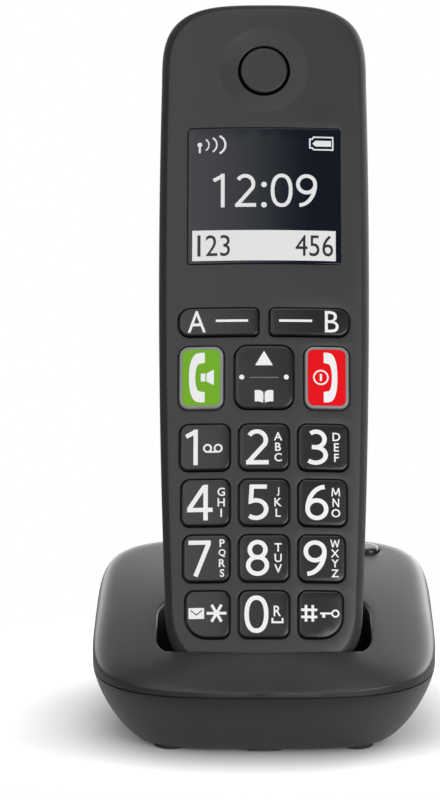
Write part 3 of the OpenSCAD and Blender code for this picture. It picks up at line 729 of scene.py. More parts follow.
class PHONE_OT_front_cover(PieceOperator, bpy.types.Operator):
    """The crowned front cover, with its openings for the keys, the window and the earpiece"""

    bl_idname = "phone.front_cover"
    bl_label = "Front cover"

    def make(self, handset, keys, base, finishes):
        edge, wall, seam = handset.edge, handset.wall, handset.seam
        window_gap, ledge, recess = 0.1 * MM, 1.8 * MM, 1.3 * MM
        loop, window, ear = outline(handset), window_data(), ear_centre()

        def face(u, v):
            return face_depth(u, handset)

        def behind(u, v):
            return wall + face_depth(u, handset) * (1 - wall / seam)

        def rim_ring(inset, w):
            flat = drawn_in(loop, inset, handset)
            return ring(flat, w + face_depth(flat[:, 0], handset) * (1 - w / seam))

        turns = np.linspace(QUARTER, 0, 13)
        outside = [(handset.rim_in * (1 - abs(math.cos(t)) ** handset.rim_power),
                    handset.rim_back * (1 - math.sin(t) ** handset.rim_power)) for t in turns]
        lower = [(0, w) for w in np.linspace(handset.rim_back, seam - edge, 6)[1:]]
        end = [(edge * (1 - math.cos(t)), seam - edge * (1 - math.sin(t)))
               for t in (0.5, 1.0, QUARTER)]
        within = [(wall, seam)] + [(wall + inset, wall + w) for inset, w in outside[::-1]]
        parts = [loft([rim_ring(*p) for p in outside + lower + end + within])]

        openings = []
        for data in key_data(handset, keys).values():
            def key_loop(grow, data=data):
                return rounded_loop(data.centre, data.size, data.radii, keys.clearance + grow)
            openings.append((key_loop, [(0, behind, 0)]))

        def window_loop(grow):
            return even_loop(window.centre, window.size, window.corner, window_gap + grow)

        openings.append((window_loop,
                         [(0, face, recess), (-ledge, face, recess), (-ledge, behind, 0)]))
        outer_holes, inner_holes = [], []
        for loop_at, profile in openings:
            rings = [ring(loop_at(grow), face, depth) for grow, depth in fillet(edge)]
            rings += [ring(loop_at(grow), level, depth) for grow, level, depth in profile]
            parts.append(loft(rings))
            outer_holes.append(loop_at(edge))
            inner_holes.append(loop_at(profile[-1][0]))

        def ear_loop(radius):
            return circle_loop(ear, radius, 96)

        rim = handset.dish_radius + np.array([DISH_EASE / MM, 0.3, 0.1, 0.03, -0.03, -0.1,
                                              -0.3]) * MM
        bowl = np.linspace(handset.dish_radius - DISH_EASE, handset.ear_hole + edge, 9)
        dish = np.append(rim, bowl)
        dip = dish_dip(dish[-1], handset)
        rings = [ring(ear_loop(r), face, dish_dip(r, handset)) for r in dish]
        rings += [ring(ear_loop(handset.ear_hole + g), face, dip + d) for g, d in fillet(edge)[1:]]
        parts.append(loft(rings + [ring(ear_loop(handset.ear_hole), behind)]))
        outer_holes.append(ear_loop(dish[0]))
        inner_holes.append(ear_loop(handset.ear_hole))

        inside_loop = drawn_in(loop, wall + handset.rim_in, handset)
        parts += [laid(web(drawn_in(loop, handset.rim_in, handset), outer_holes), face),
                  laid(web(inside_loop, inner_holes, 4 * MM), behind)]
        add_piece("front_cover", parts, "handset", cover_plastic(), "cover_plastic",
                  ["handset_front_cover"])


def back_rings(loop, inset, turns, handset):
    """Rings up the rounded back, from the seam: inset plus round times (1 - cos), and sin of the
    way from the seam to the back's level."""
    rings = []
    for turn in turns:
        flat = drawn_in(loop, inset + handset.back_round * (1 - math.cos(turn)), handset)
        level = back_level(*flat.T, handset) - inset
        rings.append(ring(flat, handset.seam + (level - handset.seam) * math.sin(turn)))
    return rings


BACK_TURN = math.radians(34)


def door_data(handset):
    """Centre, size and foot of the battery door, from the points of its skin."""
    u, w, v = handset_points("battery_cover").T
    skin_depth = 0.4 * MM
    skin = np.stack([u, v], 1)[w > back_depth(u, v, handset) - skin_depth]
    return SimpleNamespace(centre=box_middle(skin), size=np.ptp(skin, axis=0), foot=skin.min(0)[1])


class PHONE_OT_rear_cover(PieceOperator, bpy.types.Operator):
    """The rounded rear cover, with the battery bay, the grille and the screws' counterbores"""

    bl_idname = "phone.rear_cover"
    bl_label = "Rear cover"

    def make(self, handset, keys, base, finishes):
        edge, wall = handset.edge, handset.wall
        seam = handset.seam + 0.02 * MM
        loop, door = outline(handset), door_data(handset)

        def back(u, v):
            return back_depth(u, v, handset)

        def behind(u, v):
            return back_depth(u, v, handset, wall)

        deep, groove = handset.groove_depth, handset.seam + handset.groove
        seam_rings = [ring(drawn_in(loop, inset, handset), w) for inset, w in (
            (wall, seam), (deep, seam), (deep, groove), (0.15 * MM, groove),
            (0.03 * MM, groove + 0.1 * MM))]
        outer = back_rings(loop, 0, np.linspace(math.radians(3), BACK_TURN, 9), handset)
        inner = back_rings(loop, wall, np.linspace(math.radians(1), BACK_TURN, 6), handset)
        parts = [loft(seam_rings + outer), loft([seam_rings[0]] + inner)]

        def door_loop(grow):
            return even_loop(door.centre, door.size, handset.door_corner, handset.door_gap + grow)

        cells = np.array([handset_box(n) for n in ("battery_left", "battery_right")])
        low, high = cells[:, 0].min(0), cells[:, 1].max(0)
        room, below, shelf_drop = np.array([0.8, 3.6]) * MM, 0.4 * MM, 2.8 * MM
        bay_centre, bay_size = (low + high)[[0, 2]] / 2, (high - low)[[0, 2]] + room
        bay_floor = low[1] - below
        shelf = handset.depth - handset.foot_taper - handset.door_thickness - shelf_drop
        plate, frame_wall, tub_wall = 1.4 * MM, 1.4 * MM, 1.2 * MM
        under, tub_floor = shelf - plate, bay_floor - tub_wall

        def bay_loop(grow):
            return even_loop(bay_centre, bay_size, 0.6 * MM, grow, corner_steps=3)

        outside, tub = door_loop(frame_wall), bay_loop(tub_wall)
        mouth = [ring(door_loop(g), back, -d) for g, d in fillet(edge)]
        parts += [loft(mouth + [ring(door_loop(0), shelf)]),
                  laid(web(door_loop(0), [bay_loop(0)]), shelf),
                  loft([ring(bay_loop(0), shelf), ring(bay_loop(0), bay_floor)]),
                  laid(web(bay_loop(0)), bay_floor),
                  loft([ring(outside, behind), ring(outside, under)]),
                  laid(web(outside, [tub]), under),
                  loft([ring(tub, under), ring(tub, tub_floor)]), laid(web(tub), tub_floor)]
        outer_holes, inner_holes = [door_loop(edge)], [outside]

        ringer = box_middle(handset_points("ringer_speaker"))[[0, 2]]
        pitch, longest, shorter, tall, slot_edge = 2.6 * MM, 12 * MM, 2 * MM, 1.2 * MM, 0.15 * MM
        for i in range(-2, 3):
            def slot_loop(grow, i=i):
                return even_loop(ringer + (0, pitch * i), (longest - shorter * abs(i), tall),
                                 0.55 * MM, grow, spacing=0.9 * MM)
            rings = [ring(slot_loop(g), back, -d) for g, d in fillet(slot_edge, 3)]
            parts.append(loft(rings + [ring(slot_loop(0), behind)]))
            outer_holes.append(slot_loop(slot_edge))
            inner_holes.append(slot_loop(0))

        head_seat, bore, bore_edge = handset.seam + 4 * MM, 2.3 * MM, 0.2 * MM
        for place in four_places(handset_points("handset_screws")[:, [0, 2]]):
            def bore_loop(grow, place=place):
                return circle_loop(place, bore + grow, 32)
            rings = [ring(bore_loop(g), back, -d) for g, d in fillet(bore_edge, 3)]
            parts += [loft(rings + [ring(bore_loop(0), head_seat)]),
                      laid(web(bore_loop(0)), head_seat)]
            outer_holes.append(bore_loop(bore_edge))
        rounded = handset.back_round * (1 - math.cos(BACK_TURN))
        inside_loop = drawn_in(loop, wall + rounded, handset)
        parts += [laid(web(drawn_in(loop, rounded, handset), outer_holes, 1.4 * MM), back),
                  laid(web(inside_loop, inner_holes, 3 * MM), behind)]
        add_piece("rear_cover", parts, "handset", cover_plastic(), "cover_plastic",
                  ["handset_rear_cover"])


class PHONE_OT_battery_door(PieceOperator, bpy.types.Operator):
    """The battery door, a piece of the back's skin with a finger recess and two hooks"""

    bl_idname = "phone.battery_door"
    bl_label = "Battery door"

    def make(self, handset, keys, base, finishes):
        edge, thick = handset.edge, handset.door_thickness
        door = door_data(handset)
        grip_size, grip_in, grip_edge = (11 * MM, 2.4 * MM), 3.5 * MM, 0.3 * MM
        grip_draft, grip_depth = 0.1 * MM, 0.9 * MM
        grip_centre = door.centre + (0, door.size[1] / 2 - grip_in)

        def back(u, v):
            return back_depth(u, v, handset)

        def door_loop(grow):
            return even_loop(door.centre, door.size, handset.door_corner, grow)

        def grip_loop(grow):
            return even_loop(grip_centre, grip_size, 1.1 * MM, grow, spacing=0.9 * MM)

        skin = [ring(door_loop(-g), back, -d) for g, d in fillet(edge)]
        grip = [ring(grip_loop(g), back, -d) for g, d in fillet(grip_edge)]
        parts = [loft(skin + [ring(door_loop(0), back, -thick)]),
                 laid(web(door_loop(0)), back, -thick),
                 laid(web(door_loop(-edge), [grip_loop(grip_edge)], 1.4 * MM), back),
                 loft(grip + [ring(grip_loop(-grip_draft), back, -grip_depth)]),
                 laid(web(grip_loop(-grip_draft), step=1.2 * MM), back, -grip_depth)]
        reach = handset.wall + 0.4 * MM
        under = back_level(0, door.foot, handset) - handset.wall - 0.4 * MM
        top, hook_thick, half = under + reach - 0.6 * thick, 1.2 * MM, 2 * MM
        for side in (-5 * MM, 5 * MM):
            for first, level in ((-0.9 * MM, under), (0.3 * MM, top)):
                parts += [stood(part) for part in box_part(
                    (side - half, door.foot + first, under - hook_thick),
                    (side + half, door.foot + 3.1 * MM, level), 0.1 * MM)]
        add_piece("battery_door", parts, "battery_cover", cover_plastic(), "cover_plastic",
                  ["battery_cover"])


class PHONE_OT_window(PieceOperator, bpy.types.Operator):
    """The glossy display window"""

    bl_idname = "phone.window"
    bl_label = "Display window"

    def make(self, handset, keys, base, finishes):
        window = window_data()
        sunk, edge, thick = 0.04 * MM, 0.2 * MM, 1.15 * MM

        def loop_at(grow):
            return even_loop(window.centre, window.size, window.corner, grow)

        def face(u, v):
            return face_depth(u, handset) + sunk

        rings = [ring(loop_at(-g), face, d) for g, d in fillet(edge)]
        parts = [loft(rings + [ring(loop_at(0), face, thick)]),
                 laid(web(loop_at(-edge)), face), laid(web(loop_at(0)), face, thick)]
        glass = moulded("dark_window", finishes.screen, 0.09, Grain=600, Depth=0.0, Cloud=20,
                        Unevenness=0.04)
        add_piece("window", parts, "handset", glass, "window", ["display_window"])


class PHONE_OT_earpiece(PieceOperator, bpy.types.Operator):
    """The earpiece's round cap, which stands in its opening with a gap all round"""

    bl_idname = "phone.earpiece"
    bl_label = "Earpiece cap"

    def make(self, handset, keys, base, finishes):
        low, high = handset_box("earpiece_cap")
        radius, flange, top, bottom = 5.62 * MM, (high[0] - low[0]) / 2, low[1], high[1]
        seat, dome, dome_rise = bottom - 0.7 * MM, 0.12 * MM, 0.1 * MM
        rounded = [(radius - g, top + d) for g, d in fillet(0.4 * MM, 5)]
        domed = [(r, top + dome * (r / radius) ** 2 - dome_rise)
                 for r in np.linspace(0, radius - 0.5 * MM, 6)]
        hidden = [rounded[-1], (radius, seat), (flange, seat), (flange, bottom), (0, bottom)]
        parts = [stood(lathe(domed + rounded, 72), ear_centre()),
                 (*stood(lathe(hidden, 72), ear_centre()), 1)]
        # The cap's hidden sides, seat and underside get a near-black material: painted shade in the
        # gap round the cap.
        gap_shade_paint = moulded("painted_gap_shade", (0.002, 0.002, 0.002), 0.9, Grain=1400,
                       Specular_IOR_Level=0.1)
        add_piece("earpiece_disc", parts, "handset", [cover_plastic(), gap_shade_paint], "key_plastic",
                  ["earpiece_cap"])


# ---- Print: flat shapes in millimetres about a key's or the window's centre ----

def arc(x, y, across, up, first, last, steps=16):
    """Points along a part of an ellipse, between two angles in degrees."""
    turn = np.radians(np.linspace(first, last, steps + 1))
    return [(x + across * math.cos(t), y + up * math.sin(t)) for t in turn]


def oval(x, y, across, up, power=2.0, count=40):
    """A closed superellipse: half its size times the cosine and sine, each to the power of 2 /
    power."""
    turn = round_turns(count)
    return list(zip(x + across * signed_power(np.cos(turn), 2 / power),
                    y + up * signed_power(np.sin(turn), 2 / power)))


def divided(line, spacing=1.0, closed=True):
    """A line with more points along its long sides."""
    line = [np.array(p, float) for p in line]
    points = []
    for a, b in zip(line, line[1:] + line[:1] if closed else line[1:]):
        steps = max(1, int(np.linalg.norm(b - a) / spacing))
        points += [a + (b - a) * i / steps for i in range(steps)]
    return np.array(points if closed else points + [line[-1]])


def stroke(line, width, closed=False, spacing=1.0):
    """A band of even width along a line. Long sides are divided, and corners are mitred."""
    points = divided(line, spacing, closed)
    ahead = np.roll(points, -1, axis=0) - points
    if not closed:
        ahead[-1] = ahead[-2]
    ahead /= np.linalg.norm(ahead, axis=1)[:, None]
    before = np.roll(ahead, 1, axis=0)
    if not closed:
        before[0] = ahead[0]
    normal = np.stack([-(ahead + before)[:, 1], (ahead + before)[:, 0]], 1)
    normal /= np.linalg.norm(normal, axis=1)[:, None]
    reach = 1 / np.clip((normal * np.stack([-ahead[:, 1], ahead[:, 0]], 1)).sum(1), 0.5, 1)
    aside = normal * (reach * width / 2)[:, None]
    n = len(points)
    quads = [(i, (i + 1) % n, n + (i + 1) % n, n + i) for i in range(n if closed else n - 1)]
    return np.vstack([points + aside, points - aside]), quads


def filled(loop, step=1.4):
    """A filled polygon."""
    points, faces = web(divided(loop, step) * MM, step=step * MM)
    return points / MM, faces


def letters(text, height, centre, width=None, weight=0.0):
    """A line of type from Blender's own font, fitted to a height and, if given, a width."""
    curve = bpy.data.curves.new("type", "FONT")
    curve.body, curve.resolution_u, curve.offset = text, 3, weight
    holder = bpy.data.objects.new("type", curve)
    mesh = bpy.data.meshes.new_from_object(holder)
    points = np.array([v.co[:2] for v in mesh.vertices])
    faces = [tuple(face.vertices) for face in mesh.polygons]
    bpy.data.objects.remove(holder)
    bpy.data.curves.remove(curve)
    bpy.data.meshes.remove(mesh)
    low, high = points.min(0), points.max(0)
    scale = np.full(2, height / (high - low)[1])
    if width:
        scale[0] = width / (high - low)[0]
    return (points - (low + high) / 2) * scale + centre, faces


def moved(flat, x=0.0, y=0.0, scale=1.0, stretch=1.0):
    """A flat shape scaled, stretched across and moved."""
    points, faces = flat
    return points * (scale * stretch, scale) + (x, y), faces


def digit(figure, width):
    """The strokes of a digit drawn 8.5 high about its middle."""
    six = [stroke(oval(0.1, -1.6, 2.1, 2.1), width, True),
           stroke(arc(2.0, -1.6, 4.0, 5.3, 92, 180), width)]
    shapes = {
        "0": [stroke(oval(0, 0, 2.2, 3.75, 2.3, 48), width, True)],
        "1": [stroke([(0.45, -4.25), (0.45, 4.25)], width),
              stroke([(0.5, 3.75), (-1.8, 2.55)], width)],
        "2": [stroke([(-2.6, -3.7), (2.5, -3.7)], width),
              stroke(arc(-0.15, 1.6, 2.0, 2.1, 148, -28) + [(-2.1, -3.65)], width)],
        "3": [stroke(arc(-0.2, 1.85, 1.9, 1.85, 132, -80), width),
              stroke([(-1.2, 0)] + arc(-0.35, -1.9, 2.3, 1.85, 88, -134), width)],
        "4": [stroke([(1.15, -4.25), (1.15, 4.2)], width),
              stroke([(0.85, 3.8), (-2.55, -1.5)], width),
              stroke([(-3.0, -1.75), (2.75, -1.75)], width)],
        "5": [stroke([(-1.75, 3.7), (2.1, 3.7)], width),
              stroke([(-1.3, 4.0), (-1.5, 0.2)] + arc(-0.35, -1.65, 2.3, 2.1, 108, -132), width)],
        "6": six,
        "7": [stroke([(-2.9, 3.7), (2.1, 3.7)], width), stroke([(1.7, 3.6), (-1.3, -4.25)], width)],
        "8": [stroke(oval(0, 1.95, 1.75, 1.8), width, True),
              stroke(oval(0, -1.75, 2.1, 1.95), width, True)],
        "9": [(-points, faces) for points, faces in six]}
    return shapes[figure]


def receiver():
    """A telephone receiver on its side: a bow between two end pieces."""
    outer = [(0.85, 6), (-0.3, 6)] + [(-0.3 - 2.6 * (1 - abs(y / 6) ** 2.4) ** (1 / 2.4), y)
                                      for y in np.linspace(5.75, -5.75, 24)]
    inner = [(-0.45 - 0.95 * (1 - (y / 3.3) ** 2) ** 0.5, y) for y in np.linspace(-3.15, 3.15, 13)]
    return filled(outer + [(-0.3, -6), (0.85, -6), (0.85, -3.55), (-0.45, -3.3)] + inner
                  + [(-0.45, 3.3), (0.85, 3.55)])


def group_letter(letter, height, centre):
    """A letter of a digit's group. Those with slanted joints are drawn as strokes, the rest as
    type."""
    joints = {"M": [(-0.44, -0.5), (-0.36, 0.5), (0, -0.32), (0.36, 0.5), (0.44, -0.5)],
              "N": [(-0.32, -0.5), (-0.32, 0.5), (0.32, -0.5), (0.32, 0.5)],
              "W": [(-0.52, 0.5), (-0.28, -0.5), (0, 0.42), (0.28, -0.5), (0.52, 0.5)]}
    if letter not in joints:
        return [letters(letter, height, centre, weight=0.016)]
    points = np.array(joints[letter]) * height + centre
    return [stroke(pair, 0.15 * height) for pair in zip(points[:-1], points[1:])]


def key_print(name, width):
    """The print on a key, as flat shapes. A second ink is for the faint line on the navigation
    key."""
    groups = {"2": "ABC", "3": "DEF", "4": "GHI", "5": "JKL", "6": "MNO", "7": "PQRS", "8": "TUV",
              "9": "WXYZ"}
    label = name.removeprefix("key_")
    if label in groups:
        column = (int(label) - 1) % 3
        x, aside = ((-1.15, 3.7), (-1.5, 3.3), (-1.45, 3.1))[column]
        group = groups[label]
        pitch, height = (2.5, 2.0) if len(group) == 3 else (2.35, 1.85)
        return [moved(shape, x, stretch=1.04) for shape in digit(label, width)] + [
            shape for i, letter in enumerate(group)
            for shape in group_letter(letter, height,
                                      (aside, (len(group) - 1) / 2 * pitch - i * pitch))]
    asterisk = [(2.4 * math.cos(t), 2.4 * math.sin(t)) for t in np.radians((0, 60, 120))]
    page = ((0.22, -3.65), (0.8, -3.3), (1.5, -3.2), (2.2, -3.3), (2.2, -5.95), (1.4, -5.9),
            (0.6, -6.05), (0.22, -6.3))
    prints = {
        "1": lambda: [moved(shape, -2.6) for shape in digit("1", width)] + [
            stroke(oval(x, -0.3, 0.85, 0.85, count=24), 0.42, True) for x in (0.65, 3.15)] + [
            stroke([(0.55, -1.15), (3.25, -1.15)], 0.42)],
        "star": lambda: [
            filled([(-4.6, -1.1), (-0.76, -1.1), (-0.76, 1.6), (-4.6, 1.6)]),
            (*stroke([(-4.1, 1.0), (-2.68, -0.1), (-1.26, 1.0)], 0.26), 0)] + [
            moved(stroke([(-x, -y), (x, y)], 0.7), 2.26, 0.27) for x, y in asterisk],
        "0": lambda: [moved(shape, -1.76, 0, 1.03) for shape in digit("0", width)] + [
            letters("R", 2.5, (3.1, 0.75), 1.7, 0.012),
            stroke([(1.95, -0.9), (1.95, -1.9), (4.3, -1.9), (4.3, -0.9)], 0.45)],
        "hash": lambda: [stroke(line, 0.64) for line in (
            [(-3.6, -1.8), (-3.6, 2.3)], [(-1.95, -1.8), (-1.95, 2.3)],
            [(-4.8, 1.1), (-0.85, 1.1)], [(-4.8, -0.65), (-0.85, -0.65)])] + [
            stroke(oval(3.6, 0.24, 0.8, 0.8, count=24), 0.42, True),
            stroke([(2.9, 0.24), (-0.13, 0.24)], 0.48), stroke([(0.72, 0.1), (0.72, -0.8)], 0.75)],
        "a": lambda: [letters("A", 5.2, (-5.15, 0.05), 4.3),
                      stroke([(-0.65, 0.2), (7.0, 0.2)], 0.58)],
        "b": lambda: [letters("B", 5.2, (5.3, 0.05), 3.3), stroke([(-7.2, 0.2), (0.6, 0.2)], 0.58)],
        "talk": lambda: [
            receiver(), filled([(-0.1, -0.95), (1.0, -0.95), (1.0, 0.95), (-0.1, 0.95)]),
            filled([(1.25, -0.95), (3.0, -1.9), (3.0, 1.9), (1.25, 0.95)])],
        "end": lambda: [
            moved(receiver(), stretch=-0.86),
            stroke(oval(-1.4, 0, 1.65, 1.65, count=32), 0.36, True),
            stroke([(-1.4, -0.85), (-1.4, 0.85)], 0.5)],
        "navigation": lambda: [
            filled([(-2.1, 2.75), (2.1, 2.75), (0, 6.3)]),
            filled(oval(-5.25, -0.1, 0.6, 0.6, count=20)),
            filled(oval(5.25, -0.1, 0.6, 0.6, count=20)),
            (*stroke([(-3.4, -0.2), (3.4, -0.2)], 0.24), 2)] + [
            filled([(side * x, y) for x, y in page]) for side in (-1, 1)] + [
            stroke([(0, -4.1), (0, -5.7)], 0.16)]}
    scale = 0.95 if label in ("star", "hash") else 1
    return [(points * scale, *rest) for points, *rest in prints[label]()]


def laid_print(shapes, centre, level, rise, depth=0.02 * MM):
    """Thin closed plates of the shapes, a little over a surface. Each lies a trace higher than
    the one before, so that where two cross they share no plane."""
    parts = []
    for i, (points, faces, *number) in enumerate(shapes):
        flat = points * MM + centre
        used = {}  # each edge, with the directions in which its faces run along it
        for face in faces:
            for a, b in zip(face, np.roll(face, -1)):
                used.setdefault((min(a, b), max(a, b)), []).append((a, b))
        n = len(points)
        sides = [(a, b, b + n, a + n) for pair in used.values() if len(pair) == 1 for a, b in pair]
        under = [tuple(j + n for j in face) for face in faces]
        raised = rise + 0.004 * MM * (i % 4)
        parts.append((np.vstack([ring(flat, level, -raised), ring(flat, level, depth)]),
                      [tuple(face) for face in faces] + under + sides, *(number or [1])))
    return parts


# ---- The keys ----

def add_key(name, handset, keys, materials, slot):
    """A key: straight sides over a flange, a rounded edge and a top that follows the face across
    and its own arc along. The two are blended as half their sum plus the root of their squared
    gap."""
    data = key_data(handset, keys)[name]
    edge, blend, fine = keys.edge, 0.15 * MM, 1.6 * MM

    def loop_at(grow):
        return rounded_loop(data.centre, data.size, data.radii, grow, 1.2 * MM, 8)

    def top(u, v):
        across = face_depth(u, handset)
        along = (v - data.centre[1]) ** 2 / (2 * keys.top_radius)
        return (across + along + np.sqrt((across - along) ** 2 + blend ** 2)) / 2 - keys.rise

    rounded = [ring(loop_at(-g), top, d) for g, d in fillet(edge, 5)]
    sides = [ring(loop_at(0), data.flange), ring(loop_at(keys.flange), data.flange),
             ring(loop_at(keys.flange), data.base)]
    parts = [loft(rounded + sides), laid(web(loop_at(keys.flange), step=4 * MM), data.base)]
    if name in ("key_talk", "key_end"):
        rim, step_depth = keys.rim, 0.06 * MM
        foot, shore, field = rim + 0.04 * MM, rim + 0.12 * MM, rim + 0.16 * MM
        line = [(edge, 0), (rim, 0), (foot, step_depth), (shore, step_depth)]
        parts.append(loft([ring(loop_at(-g), top, d) for g, d in line]))
        bank = [ring(loop_at(-g), top, d) for g, d in ((shore, step_depth), (field, 0.0))]
        parts += [(*loft(bank), 2), (*laid(web(loop_at(-field), step=fine), top), 2)]
    else:
        parts.append(laid(web(loop_at(-edge), step=fine), top))
    parts += laid_print(key_print(name, keys.stroke / MM), data.centre, top, keys.print_rise)
    add_piece(name.replace("key_", "cap_"), parts, name, materials, slot, [name], weld=0.0006 * MM)


def faint_ink():
    return moulded("printed_grey", (0.16, 0.16, 0.165), 0.5, Depth=0.1)


class PHONE_OT_digit_keys(PieceOperator, bpy.types.Operator):
    """The twelve digit keys with their print"""

    bl_idname = "phone.digit_keys"
    bl_label = "Digit keys"

    def make(self, handset, keys, base, finishes):
        for label in (*"123456789", "star", "0", "hash"):
            add_key("key_" + label, handset, keys, [key_plastic(), ink()], "key_plastic")


class PHONE_OT_function_keys(PieceOperator, bpy.types.Operator):
    """The two direct keys and the navigation key"""

    bl_idname = "phone.function_keys"
    bl_label = "Direct and navigation keys"

    def make(self, handset, keys, base, finishes):
        for name in ("key_a", "key_b", "key_navigation"):
            add_key(name, handset, keys, [key_plastic(), ink(), faint_ink()], "key_plastic")


class PHONE_OT_call_keys(PieceOperator, bpy.types.Operator):
    """The green and red call keys, each a coloured field in a grey rim"""

    bl_idname = "phone.call_keys"
    bl_label = "Call keys"

    def make(self, handset, keys, base, finishes):
        rim = moulded("grey_rim", finishes.rim, 0.35, Depth=0.2)
        for name, tint in (("talk", finishes.talk), ("end", finishes.end)):
            field = moulded(name + "_field", tint,
                            0.42, Depth=0.15, Unevenness=0.03, Specular_IOR_Level=0.1)
            slot = {"talk": "talk_green", "end": "end_red"}[name]
            add_key("key_" + name, handset, keys, [rim, ink(), field], slot)


class PHONE_OT_screen(PieceOperator, bpy.types.Operator):
    """What the display shows: the aerial and battery signs, the time, and a bar with plain
    numbers"""

    bl_idname = "phone.screen"
    bl_label = "Display contents"

    def make(self, handset, keys, base, finishes):
        window = window_data()
        places = (("1", -10.3), ("2", -4.35), ("0", 4.22), ("9", 10.28))
        time = [moved(shape, x, 1.28, 0.98) for figure, x in places
                for shape in digit(figure, 0.92)]
        colon = [filled(oval(0, y, 0.68, 0.68, count=24)) for y in (2.7, -2.3)]
        aerial = [filled(oval(-15.4, 12.75, 0.58, 0.58, count=20)),
                  stroke([(-15.4, 12.75), (-15.4, 10.7)], 0.5)]
        aerial += [stroke(arc(x, 12.7, radius, radius, -turn, turn), width) for x, radius, turn,
                   width in
                   ((-14.8, 1.6, 58, 0.34), (-13.3, 2.0, 60, 0.4), (-11.6, 2.35, 66, 0.5))]
        outline_of = [(16.5, 11.5), (16.5, 14.6), (11.9, 14.6), (11.6, 14.1), (11.0, 14.1),
                      (11.0, 11.9),
                      (11.6, 11.9), (11.9, 11.5)]
        battery = [stroke(outline_of, 0.36, True),
                   filled([(12.3, 12.3), (16.1, 12.3), (16.1, 13.75), (12.3, 13.75), (11.6, 13.0)])]
        bar = [filled([(-17.1, -16.0), (17.1, -16.0), (17.1, -8.6), (-17.1, -8.5)], 3)]
        numbers = [letters("1", 5.2, (-15.5, -12.3)), letters("23", 5.2, (-11.0, -12.3), 5.8),
                   letters("456", 5.2, (12.0, -12.3), 9.0)]

        def lit(u, v):
            return face_depth(u, handset) + 0.04 * MM

        shapes = [(*shape, 0) for shape in time + colon + aerial + battery + bar]
        parts = laid_print(shapes, window.centre, lit, 0.03 * MM)
        parts += laid_print([(*shape, 1) for shape in numbers], window.centre, lit, 0.06 * MM)
        dark = moulded("screen_ink", (0.01, 0.01, 0.011), 0.4, Depth=0.0)
        add_piece("screen_contents", parts, "handset", [screen_light(), dark],
                  "display_glass", weld=0)


# ---- The base's form: x and y about its own middle, z over the surface it stands on ----

BASE_Y = node_points("base_lower_shell")[:, 1]
BASE_Y = (BASE_Y.min() + BASE_Y.max()) / 2
PLAN = round_turns(240)


def based(x, y, z):
    """Points of the base's frame in the object's frame."""
    x, y, z = np.broadcast_arrays(x, y, z)
    return np.stack([x, y + BASE_Y, z], -1)


def raised(flat, level, depth=0.0):
    """A flat loop of the base's plan, laid on level(x, y) or at plain heights, and sunk by
    depth."""
    z = level(*flat.T) if callable(level) else level
    return based(*flat.T, z - depth)


def spread(flat, level):
    """A flat web raised to a surface as a part."""
    points, faces = flat
    return raised(points, level), faces


def plan_loop(inset, base, turn=PLAN):
    """The base's plan, a superellipse whose front and back differ in power. inset may vary round
    it."""
    c, s = np.cos(turn), np.sin(turn)
    power = np.where(s < 0, base.front_power, base.back_power)
    return np.stack([(base.width / 2 - inset) * signed_power(c, 2 / power),
                     (base.depth / 2 - inset) * signed_power(s, 2 / power)], 1)


def frontness(sine):
    """The fourth power of the sine's front half: 1 at the front, 0 at the sides and behind."""
    return np.maximum(0, -sine) ** 4


def deck_level(x, y, base):
    """The deck climbs from the lip to the back, bulges as a parabola both ways, and falls away
    towards its sides as a cube that grows towards the front."""
    crest, reach = 0.06 * base.depth, 0.39 * base.depth
    side, along = np.abs(x) / (base.width / 2), (y - crest) / reach
    fall = base.side_fall * np.clip(0.5 - y / base.depth, 0, 1) * side ** 3
    climb = (y + base.depth / 2 - base.lip_inset) * base.deck_slope
    return base.lip_height + climb + base.crown * (1 - side ** 2 - along ** 2) - fall


def shoulder_facts(sine, base):
    """Width and power of the shoulder round the plan: narrow and square at the sides and the back,
    broad and slack at the front."""
    front = frontness(sine)
    width = base.shoulder + (base.lip_inset - base.shoulder) * front
    return width, base.shoulder_power + (base.slope_power - base.shoulder_power) * front


def shoulder_loop(turn_up, inset, base):
    """A ring of the upper shell, as points. turn_up goes from 0 over the seam to a quarter turn."""
    width, power = shoulder_facts(np.sin(PLAN), base)
    flat = plan_loop(inset + width * (1 - np.cos(turn_up) ** (2 / power)), base)
    rise = np.sin(turn_up) ** (2 / power)
    level = base.seam + base.rise
    return raised(flat, level + (deck_level(*flat.T, base) - inset - level) * rise)


def upper_level(x, y, base, inset=0.0):
    """Height of the upper shell over a place in the plan. How far in the place lies is found by
    halving, and gives how far up the shoulder it is."""
    power = np.where(y < 0, base.front_power, base.back_power)

    def within(middle):
        across = (np.abs(x) / (base.width / 2 - middle)) ** power
        return across + (np.abs(y) / (base.depth / 2 - middle)) ** power < 1

    furthest = min(base.width, base.depth) / 2 - MM
    reach = halved(np.zeros(np.shape(x)), np.full(np.shape(x), furthest), within)
    sine = np.sign(y) * np.minimum(1, np.abs(y) / (base.depth / 2 - reach)) ** (power / 2)
    width, curve = shoulder_facts(sine, base)
    share = np.clip((reach - inset) / width, 0, 1)
    level = base.seam + base.rise
    climbed = (1 - (1 - share) ** curve) ** (1 / curve)
    return level + (deck_level(x, y, base) - inset - level) * climbed


def pocket_loop(grow, handset, base):
    """The pocket's section across the leaning handset, as (u, w): a rounded rectangle whose front
    follows a broad arc."""
    thick = handset.depth - handset.foot_taper
    size = (handset.width, thick + 2 * base.pocket_gap)
    loop = even_loop((0, thick / 2), size, base.pocket_corner, grow, spacing=1.2 * MM,
                     corner_steps=12)
    radius = base.pocket_front + grow
    front = base.pocket_front - base.pocket_gap - np.sqrt(radius ** 2 - loop[:, 0] ** 2)
    loop[:, 1] = np.maximum(loop[:, 1], front)
    return loop


def crosswise(loop, along):
    """A section of the pocket, as (u, w), at places along the handset."""
    return placed(*loop.T, along)


def pocket_mouth(loop, base, inset=0.0):
    """How far along the handset each point of a section meets the upper shell, by halving."""
    highest = 60 * MM

    def under(middle):
        x, y, z = crosswise(loop, middle).T
        return z < upper_level(x, y - BASE_Y, base, inset)

    return halved(np.zeros(len(loop)), np.full(len(loop), highest), under, 40)


